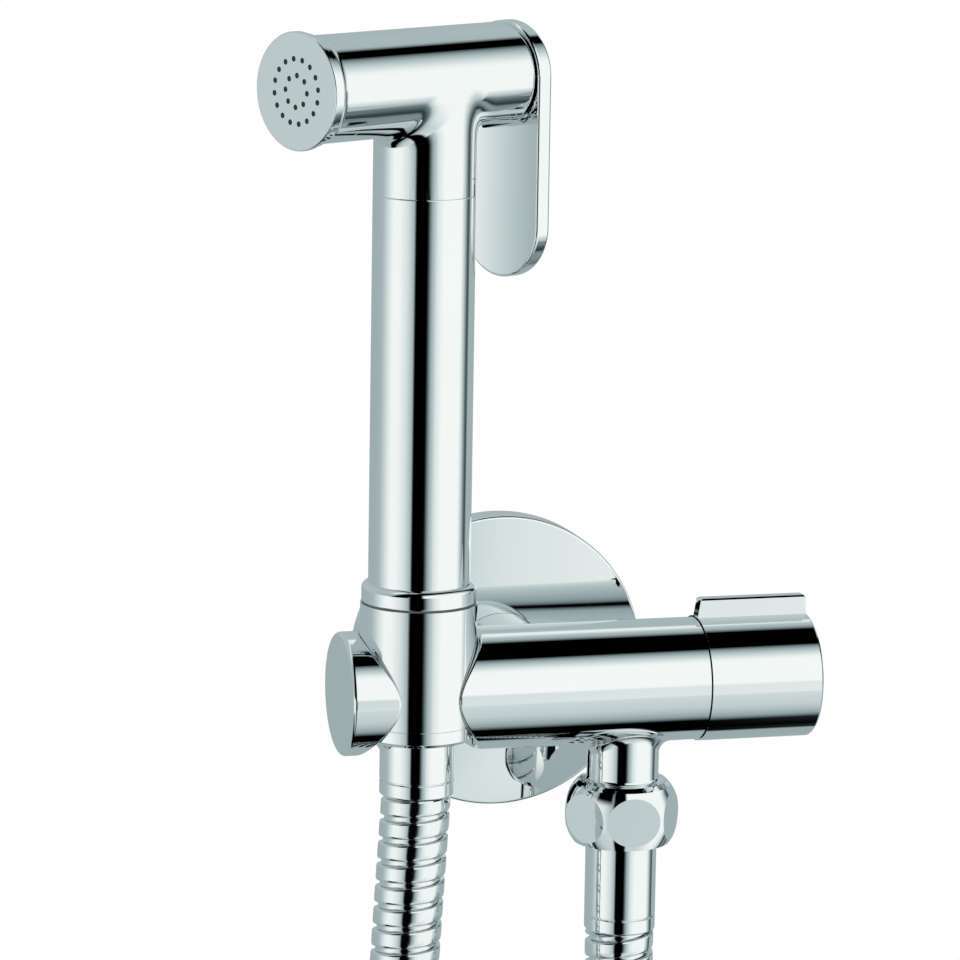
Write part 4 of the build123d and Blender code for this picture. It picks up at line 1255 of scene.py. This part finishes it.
@dataclass
class HandSpray:
    """Hand spray: sleeve, collar, handle, head, flared ring and spray face."""

    handle_radius: float = 12.0
    handle_bore: float = 10.6
    # Foot of the collar, foot of the tube on it, and top of the tube
    collar_foot: float = 22.3
    tube_foot: float = 26.8
    tube_top: float = 118.2
    barrel_radius: float = 12.3
    # Rear round of the barrel: ring radius, wire radius and height
    rear_round: tuple[float, ...] = (10.8, 1.5, 22.5)
    # Socket of the handle in the head, and the head's front spigot and bores
    socket_radius: float = 10.55
    front_radius: float = 11.2
    bore_radius: float = 9.6
    rear_bore: float = 8.6
    # Spray face: its radius, the round of its rim and the radius of its spigot
    face_radius: float = 13.5
    face_round: tuple[float, ...] = (13.2, 0.3, -40.4)
    face_spigot: float = 9.55
    # How far the spray face stands back from the CAD's place, towards the handle
    face_shift: float = 0.5

    def sleeve(self) -> Turned:
        """Crimped sleeve of the hose under the cup."""
        return hose_sleeve("handset_ferrule", ON_CUP, radius=8.8, top=-2.3, foot=-24.2)

    def collar(self) -> Turned:
        """Rounded ring on the cup."""
        foot, top = self.collar_foot, self.tube_foot
        return Turned("collar", IN_HAND, (
            Corner(self.handle_bore, foot), Corner(13.55, foot, 0.3), Corner(13.55, top, 1.49),
            Corner(12.05, top), Corner(self.handle_bore, top)))

    def handle(self) -> Turned:
        """Straight handle tube."""
        return Turned("handle_tube", IN_HAND, (
            Corner(self.handle_bore, self.tube_foot), Corner(self.handle_radius, self.tube_foot),
            Corner(self.handle_radius, self.tube_top, 0.3), Corner(self.handle_bore, self.tube_top)))

    def head(self) -> Casting:
        """T-shaped head."""
        return Casting("head_body", (
            RoundSkin(ON_BARREL, self.barrel_radius), RoundSkin(BARREL_CENTRE, self.handle_radius),
            RingSkin(ON_BARREL, *self.rear_round), RoundSkin(ON_BARREL, self.front_radius),
            RoundSkin(BARREL_CENTRE, self.socket_radius), RoundSkin(ON_BARREL, self.bore_radius),
            RoundSkin(ON_BARREL, self.rear_bore)),
            flow=FlowSkin(BARREL_CENTRE, self.barrel_radius, self.handle_radius))

    def flare(self) -> Turned:
        """Flared ring at the head's mouth."""
        return Turned("face_ring", ON_BARREL, (
            Corner(11.25, -39.1), Corner(11.25, -35.4), Corner(12.3, -35.4),
            Corner(13.05, -37.4, via=(12.4875, -36.4)), Corner(13.05, -39.1, 0.3)))

    def face(self) -> Casting:
        """Spray face with its two rings of holes."""
        back = ON_BARREL.to_3x3() @ Vector((0, 0, self.face_shift))
        return Casting("spray_face", (
            RoundSkin(ON_BARREL, self.face_radius), RingSkin(ON_BARREL, *self.face_round),
            RoundSkin(ON_BARREL, self.face_spigot)), edge=0.0, move=Matrix.Translation(back))


@dataclass
class HoleShadePlugs:
    """Dark plugs in the spray face's holes that paint the shade inside them, set out by Geometry Nodes on two
    circles.
    """

    place: float = -39.85
    reach: float = 0.62
    depth: float = 0.35
    sides: int = 20
    # Pitch radius, count and share of a step from the top to the first nozzle
    rings: tuple[tuple[float, int, float], ...] = ((7.35, 16, 0.676), (3.6, 8, 0.07))

    def build(self, material: Material) -> Piece:
        """Put a short plug at each point of the circles.

        Args:
            material: Their finish.

        Returns:
            The new piece.
        """
        spots = []
        for pitch, count, start in self.rings:
            for angle in (math.tau * (i + start) / count for i in range(count)):
                spots.append((pitch * math.sin(angle) * MM, -pitch * math.cos(angle) * MM, self.place * MM))
        carrier = bpy.data.meshes.new("hole_shade_spots")
        carrier.from_pydata(spots, [], [])
        maker = GeometryMaker("hole_shade_plugs", {"Radius": self.reach * MM, "Depth": self.depth * MM})
        plug = maker.add("GeometryNodeMeshCylinder", {
            "Vertices": self.sides, "Radius": maker.start["Radius"], "Depth": maker.start["Depth"]})
        points = maker.add("GeometryNodeMeshToPoints", {"Mesh": maker.start["Geometry"]})
        set_out = maker.add("GeometryNodeInstanceOnPoints", {
            "Points": points.outputs[0], "Instance": plug.outputs["Mesh"]})
        mesh = maker.grow(set_out.outputs[0], material, carrier, ON_BARREL)
        return finished_object("hole_shade_plugs", mesh, material)


@dataclass
class ReturnSpring:
    """Closing spring in the head, which shortens as the lever is pressed."""

    coil_radius: float = 3.6
    wire_radius: float = 0.45
    turns: float = 6.0
    front: float = -2.05
    rear: float = 11.5
    seat: float = 12.0
    travel: float = 1.2

    def coil(self) -> Coil:
        """Round wire along its coil."""
        return Coil("spring_piece", ON_BARREL @ shifted(z=self.front), self.turns, self.coil_radius,
                    self.rear - self.front, self.wire_radius, steps=30, sides=12, node="spring")

    def flatten(self, piece: Piece) -> None:
        """Give the spring its own copy of its mesh."""
        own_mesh(piece)


@dataclass
class ThumbLever:
    """Stadium plate behind the head."""

    radius: float = 12.6
    length: float = 35.1
    front: float = 24.35
    thick: float = 4.35
    edge: float = 1.0
    front_width: float = 0.7
    # Lean of the front's polish in degrees to a millimetre, and where it is level
    lean: float = 0.7
    level_at: float = 1.2
    # Upright cuts that carry the leaning polish: one from the middle, their spacing, how many on each side
    cut_start: float = 0.1
    cut_step: float = 1.5
    cuts_aside: int = 8

    def plate(self) -> Casting:
        """Plate with soft edges."""
        rear = self.front + self.thick - self.edge
        inner = self.radius - self.edge
        low = BARREL_CENTRE @ shifted(z=-self.length) @ TO_Y
        bars = [RoundSkin(BARREL_CENTRE @ shifted(side * inner, rear), self.edge) for side in (-1, 1)]
        flanks = [PlaneSkin(BARREL_CENTRE @ shifted(side * self.radius) @ TO_X) for side in (-1, 1)]
        face = PlaneSkin(BARREL_CENTRE @ shifted(y=self.front) @ TO_Y, self.lean, self.level_at)
        ends = (RoundSkin(ON_BARREL, self.radius), RoundSkin(low, self.radius))
        across = IN_HAND.to_3x3() @ Vector((1, 0, 0))
        cuts = [(BARREL_CENTRE @ Vector((self.cut_step * i + self.cut_start, 0, 0)), across)
                for i in range(-self.cuts_aside, self.cuts_aside + 1)]
        rings = (RingSkin(place, inner, self.edge, rear) for place in (ON_BARREL, low))
        front_edge = SoftEdge((face,), (*ends, *flanks), self.front_width)
        return Casting("lever", (*ends, *rings, *bars, face), edge=0.1, soft_edges=(front_edge,), slices=cuts)


# Surroundings

Stops = Sequence[tuple[float, float]]

HALF_TURN = 180.0
WHITE = (1.0, 1.0, 1.0, 1.0)
BLACK = (0.0, 0.0, 0.0, 1.0)

# Brightness of the tent's walls, by degrees from the front towards the knob's side
WALL_STOPS = (
    (-180.0, 0.42), (-136.0, 0.43), (-120.0, 0.46), (-112.0, 0.55), (-102.0, 0.70), (-93.5, 0.84),
    (-85.0, 0.94), (-70.0, 0.93), (-63.0, 0.87), (-55.5, 0.80), (-48.5, 0.71), (-42.0, 0.57),
    (-35.5, 0.42), (-31.0, 0.0), (-8.0, 0.0), (-5.0, 0.02), (-2.4, 0.11), (4.2, 0.42), (11.0, 0.60),
    (16.0, 0.78), (24.6, 0.89), (31.6, 0.96), (76.0, 0.96), (80.0, 0.88), (90.0, 0.50),
    (97.0, 0.18), (102.0, 0.07), (105.0, 0.09), (111.0, 0.44), (180.0, 0.42),
)
# Share of the dark slot in the front wall, which runs from floor to roof
SLOT_STOPS = ((-36.0, 0.0), (-31.0, 1.0), (-9.5, 1.0), (-4.0, 0.0))
# Brightness under the object, by degrees from the front upwards
BELOW_STOPS = (
    (-180.0, 0.42), (-108.0, 0.41), (-103.0, 0.0), (-74.0, 0.0), (-70.0, 0.15), (-65.0, 0.34),
    (-54.0, 0.50), (-43.0, 0.62), (-33.0, 0.65), (-23.0, 0.69), (-19.0, 0.78), (-13.0, 0.90),
    (-6.0, 0.96), (0.0, 0.96), (180.0, 0.42),
)
# The same where a reflection runs far to the knob's side
BELOW_SIDE_STOPS = (
    (-180.0, 0.42), (-129.0, 0.36), (-120.0, 0.0), (-112.0, 0.17), (-105.0, 0.30), (-98.0, 0.28),
    (-92.0, 0.03), (-85.0, 0.10), (-77.0, 0.22), (-69.0, 0.57), (-58.0, 0.81), (-50.0, 0.90),
    (-36.0, 0.96), (180.0, 0.42),
)
# Height of a direction over which the walls give way to the roof and to the ground, and the X over which the
# ground changes towards the knob's side
ROOF_EDGE = (-0.08, 0.02)
GROUND_EDGE = (-0.36, -0.30)
GROUND_SIDE = (0.3, 0.75)
# Dark gap over the object: the normal of its great circle, the X over which it changes towards the knob's
# side, its shift there in degrees, and half its width
GAP_NORMAL = (-0.565, 0.780, 0.270)
GAP_SIDE = (0.27, 0.70)
GAP_SHIFT = (0.0, 3.5)
GAP_HALF = (13.5, 4.3)
# Degrees from the gap's middle to the bright front, and the brightness by shares of the way there
FRONT_REACH = 38.0
FRONT_STOPS = (
    (0.0, 0.0), (0.04, 0.09), (0.17, 0.31), (0.33, 0.50), (0.45, 0.62), (0.62, 0.78), (0.75, 0.90),
    (0.90, 0.96),
)
# Degrees behind the gap, the X and the height of a direction over which the brightness there changes, and the
# brightness by shares of those degrees: low in the tent, to the knob's side and high up
BACK_REACH = 60.0
BACK_SIDE = (0.3, 0.7)
BACK_HEIGHT = (0.70, 0.76)
BACK_LOW_STOPS = ((0.02, 0.0), (0.12, 0.42), (0.3, 0.46), (1.0, 0.50))
BACK_SIDE_STOPS = ((0.02, 0.0), (0.09, 0.50), (0.3, 0.56), (1.0, 0.62))
BACK_HIGH_STOPS = (
    (0.02, 0.0), (0.12, 0.42), (0.18, 0.50), (0.26, 0.88), (0.33, 0.88), (0.42, 0.52), (1.0, 0.45),
)
# Brightness over the object for a surface that is seen in the polish of another, by degrees across the gap,
# and how many degrees it takes in on each side
MIRRORED_REACH = 60.0
MIRRORED_STOPS = (
    (-60.0, 0.76), (-50.0, 0.65), (-29.0, 0.52), (-12.6, 0.44), (0.0, 0.34), (6.6, 0.2),
    (10.5, 0.0), (14.5, 0.0), (20.8, 0.36), (28.9, 0.44), (60.0, 0.45),
)


# Tint of the tent's cloth for red, green and blue where it is bright and its change in the dark, and the
# brightness from which it is bright
CLOTH_TINT = ((0.96, -0.2496), (1.0, 0.02), (0.98, 0.10))
CLOTH_BRIGHT = 0.95
# Rays of more glossy bounces than this see the mirrored roof
STRAIGHT_DEPTH = 1.5


def tent_colour(value: float) -> tuple[float, ...]:
    """Colour of the tent's cloth at a brightness: cooler where it is darker."""
    cool = 1.0 - min(1.0, value / CLOTH_BRIGHT)
    return tuple(value * (bright + change * cool) for bright, change in CLOTH_TINT)


class TentMaker(TreeMaker):
    """Fills the world's tree with brightness by direction."""

    def turn_share(self, side: Socket, front: Socket) -> Socket:
        """Angle from the front as a share of a turn, with the front at one half."""
        return self.spread(self.calc("ARCTAN2", side, front), -math.pi, math.pi)

    def ramp(self, share: Socket, stops: Stops, reach: float = 0.0, cloth: bool = True) -> Socket:
        """Brightness by angle.

        Args:
            share: The socket with the share of the ramp.
            stops: Angles and brightnesses.
            reach: The angle at the ramp's end, or 0 where the stops are shares of the ramp.
            cloth: Whether the brightness has the tint of the tent's cloth.

        Returns:
            The colour's socket.
        """
        node = self.add("ShaderNodeValToRGB", {0: share})
        ramp = node.color_ramp
        while len(ramp.elements) < len(stops):
            ramp.elements.new(0.5)
        for element, (angle, _) in zip(ramp.elements, stops):
            element.position = (angle + reach) / (2 * reach) if reach else angle
        for element, (_, value) in zip(ramp.elements, stops):
            element.color = (*(tent_colour(value) if cloth else (value, value, value)), 1.0)
        return node.outputs[0]

    def ground(self, side: Socket, under_share: Socket) -> Socket:
        """Colour under the object."""
        near, aside = (self.ramp(under_share, stops, HALF_TURN) for stops in (BELOW_STOPS, BELOW_SIDE_STOPS))
        return self.mix(self.spread(side, *GROUND_SIDE), near, aside)

    def roofs(self, way: Socket, side: Socket, height: Socket) -> tuple[Socket, Socket]:
        """Colour over the object, for a surface seen straight and for one seen in another's polish.

        Args:
            way: The socket of the direction.
            side: The socket of its X part.
            height: The socket of its Z part.

        Returns:
            The sockets of the two colours.
        """
        sine = self.vector("DOT_PRODUCT", way, GAP_NORMAL)
        shift = self.spread(side, *GAP_SIDE, *GAP_SHIFT)
        angle = self.calc("ADD", self.calc("DEGREES", self.calc("ARCSINE", sine)), shift)
        half = self.spread(side, *GAP_SIDE, *GAP_HALF)
        forward = self.calc("SUBTRACT", self.calc("MULTIPLY", angle, -1.0), half)
        to_front = self.calc("DIVIDE", forward, self.calc("SUBTRACT", FRONT_REACH, half))
        behind = self.spread(self.calc("SUBTRACT", angle, half), 0.0, BACK_REACH)
        back = self.mix(self.spread(height, *BACK_HEIGHT), self.ramp(behind, BACK_LOW_STOPS),
                        self.ramp(behind, BACK_HIGH_STOPS))
        back = self.mix(self.spread(side, *BACK_SIDE), back, self.ramp(behind, BACK_SIDE_STOPS))
        straight = self.mix(self.calc("GREATER_THAN", angle, 0.0), self.ramp(to_front, FRONT_STOPS), back)
        across = self.spread(angle, -MIRRORED_REACH, MIRRORED_REACH)
        return straight, self.ramp(across, MIRRORED_STOPS, MIRRORED_REACH)


@dataclass
class Studio:
    """Camera, world, lamps and floor."""

    camera_place: tuple[float, float, float] = (-0.3280, -1.1681, 0.2674)
    camera_azimuth: float = -15.52
    camera_elevation: float = 10.47
    camera_roll: float = 0.905
    lens: float = 191.2
    floor_height: float = -0.4852
    floor_radius: float = 0.75
    floor_colour: tuple[float, ...] = (0.86, 0.86, 0.855, 1.0)
    floor_roughness: float = 0.9
    lamp_size: float = 1.2
    # Name, place and power of each lamp
    lamp_rows: tuple[tuple[str, tuple[float, float, float], float], ...] = (
        ("key_light", (-0.9, -1.1, 1.3), 6.0), ("fill_light", (1.1, -0.7, 0.9), 3.0))

    def camera(self) -> None:
        """Make the scene's camera at the photograph's viewing angle."""
        angles = (self.camera_azimuth, self.camera_elevation, self.camera_roll)
        azimuth, elevation, roll = (math.radians(a) for a in angles)
        back = Vector((math.sin(azimuth) * math.cos(elevation), -math.cos(azimuth) * math.cos(elevation),
                       math.sin(elevation)))
        side = (-back).cross(Vector((0, 0, 1))).normalized()
        top = side.cross(-back)
        right = side * math.cos(roll) + top * math.sin(roll)
        up = top * math.cos(roll) - side * math.sin(roll)
        turn = Matrix((right, up, back)).transposed().to_4x4()
        data = bpy.data.cameras.new("camera")
        data.lens = self.lens
        data.sensor_width = 36.0
        data.clip_start = 0.05
        data.clip_end = 50.0
        camera = bpy.data.objects.new("camera", data)
        camera.matrix_world = Matrix.Translation(self.camera_place) @ turn
        bpy.context.scene.collection.objects.link(camera)
        bpy.context.scene.camera = camera

    def world(self) -> None:
        """White surroundings for the camera and matt surfaces, a tent with dark gaps for polished ones."""
        world = bpy.data.worlds.new("studio")
        bpy.context.scene.world = world
        world.use_nodes = True
        world.node_tree.nodes.clear()
        maker = TentMaker(world.node_tree)
        way = maker.add("ShaderNodeTexCoord").outputs["Generated"]
        x, y, z = maker.add("ShaderNodeSeparateXYZ", {0: way}).outputs
        front = maker.calc("MULTIPLY", y, -1.0)
        round_share = maker.turn_share(x, front)
        walls = maker.ramp(round_share, WALL_STOPS, HALF_TURN)
        ground = maker.ground(x, maker.turn_share(z, front))
        ray = maker.add("ShaderNodeLightPath").outputs
        mirrored = maker.calc("GREATER_THAN", ray["Glossy Depth"], STRAIGHT_DEPTH)
        roof = maker.mix(mirrored, *maker.roofs(way, x, z))
        upper = maker.mix(maker.spread(z, *ROOF_EDGE, soft=True), walls, roof)
        tent = maker.mix(maker.spread(z, *GROUND_EDGE, 1.0, 0.0, soft=True), upper, ground)
        tent = maker.mix(maker.ramp(round_share, SLOT_STOPS, HALF_TURN, cloth=False), tent, BLACK)
        plain = maker.calc("MAXIMUM", ray["Is Camera Ray"], ray["Is Diffuse Ray"])
        light = maker.add("ShaderNodeBackground", {"Color": maker.mix(plain, tent, WHITE), "Strength": 1.0})
        maker.add("ShaderNodeOutputWorld", {0: light.outputs[0]})

    def lamps(self) -> None:
        """Add two wide soft lamps that polished surfaces do not show."""
        for name, place, power in self.lamp_rows:
            data = bpy.data.lights.new(name, "AREA")
            data.energy = power
            data.size = self.lamp_size
            lamp = bpy.data.objects.new(name, data)
            lamp.location = place
            lamp.rotation_euler = (-Vector(place)).to_track_quat("-Z", "Y").to_euler()
            lamp.visible_glossy = False
            bpy.context.scene.collection.objects.link(lamp)

    def floor(self) -> None:
        """Add the pale floor under the hose."""
        mesh = bpy.data.meshes.new("floor")
        shape = bmesh.new()
        bmesh.ops.create_circle(shape, cap_ends=True, segments=128, radius=self.floor_radius)
        bmesh.ops.translate(shape, verts=shape.verts, vec=(0, 0, self.floor_height))
        shape.to_mesh(mesh)
        shape.free()
        material = bpy.data.materials.new("floor_paper")
        material.use_nodes = True
        shader = material.node_tree.nodes["Principled BSDF"]
        shader.inputs["Base Color"].default_value = self.floor_colour
        shader.inputs["Roughness"].default_value = self.floor_roughness
        floor = finished_object("floor", mesh, material)
        floor.visible_glossy = False


def dress_nodes(finishes: dict[Slot, Material]) -> None:
    """Give every CAD node the finish of its slot.

    Args:
        finishes: The material of each slot.
    """
    slots = {row["node"]: row["material_slot"] for row in frame["record"]["subparts"]}
    for name, node in frame["nodes"].items():
        node.material_slots[0].material = finishes[Slot(slots[name])]


def main() -> None:
    """Build the whole scene."""
    logging.basicConfig(level=logging.INFO, format="%(message)s")
    studio = Studio()
    studio.camera()
    marks = marks_group()
    finishes = {finish.slot: finish.build(marks) for finish in FINISHES}
    dress_nodes(finishes)
    RibbedHose().build(finishes[Slot.HOSE])
    valve, spray, spring = StopValve(), HandSpray(), ReturnSpring()
    kit = (
        (Body.WALL, Slot.CHROME, (
            valve.body(), valve.cup(), valve.end_cap(), valve.nut(), valve.lower_ring(), valve.ferrule())),
        (Body.WALL, Slot.FLANGE, (valve.flange(),)),
        (Body.WALL, Slot.BRASS, (valve.inlet(), valve.wall_thread())),
        (Body.KNOB, Slot.CHROME, (QuarterTurnKnob().cap(),)),
        (Body.HOSE_END, Slot.CHROME, (spray.sleeve(),)),
        (Body.HANDSET, Slot.CHROME, (
            spray.collar(), spray.handle(), spray.head(), spray.flare(), spray.face())),
        # Dark plugs that paint the shade inside the spray face's holes
        (Body.HANDSET, Slot.RUBBER, (HoleShadePlugs(),)),
        (Body.LEVER, Slot.CHROME, (ThumbLever().plate(),)),
    )
    for body, slot, makers in kit:
        for maker in makers:
            ride_on(maker.build(finishes[slot]), body)
    wire = spring.coil().build(finishes[Slot.STEEL])
    ride_on(wire, Body.HANDSET)
    spring.flatten(wire)
    studio.world()
    studio.lamps()
    studio.floor()
    bpy.context.scene.view_settings.view_transform = "Standard"


if __name__ == "__main__":
    main()
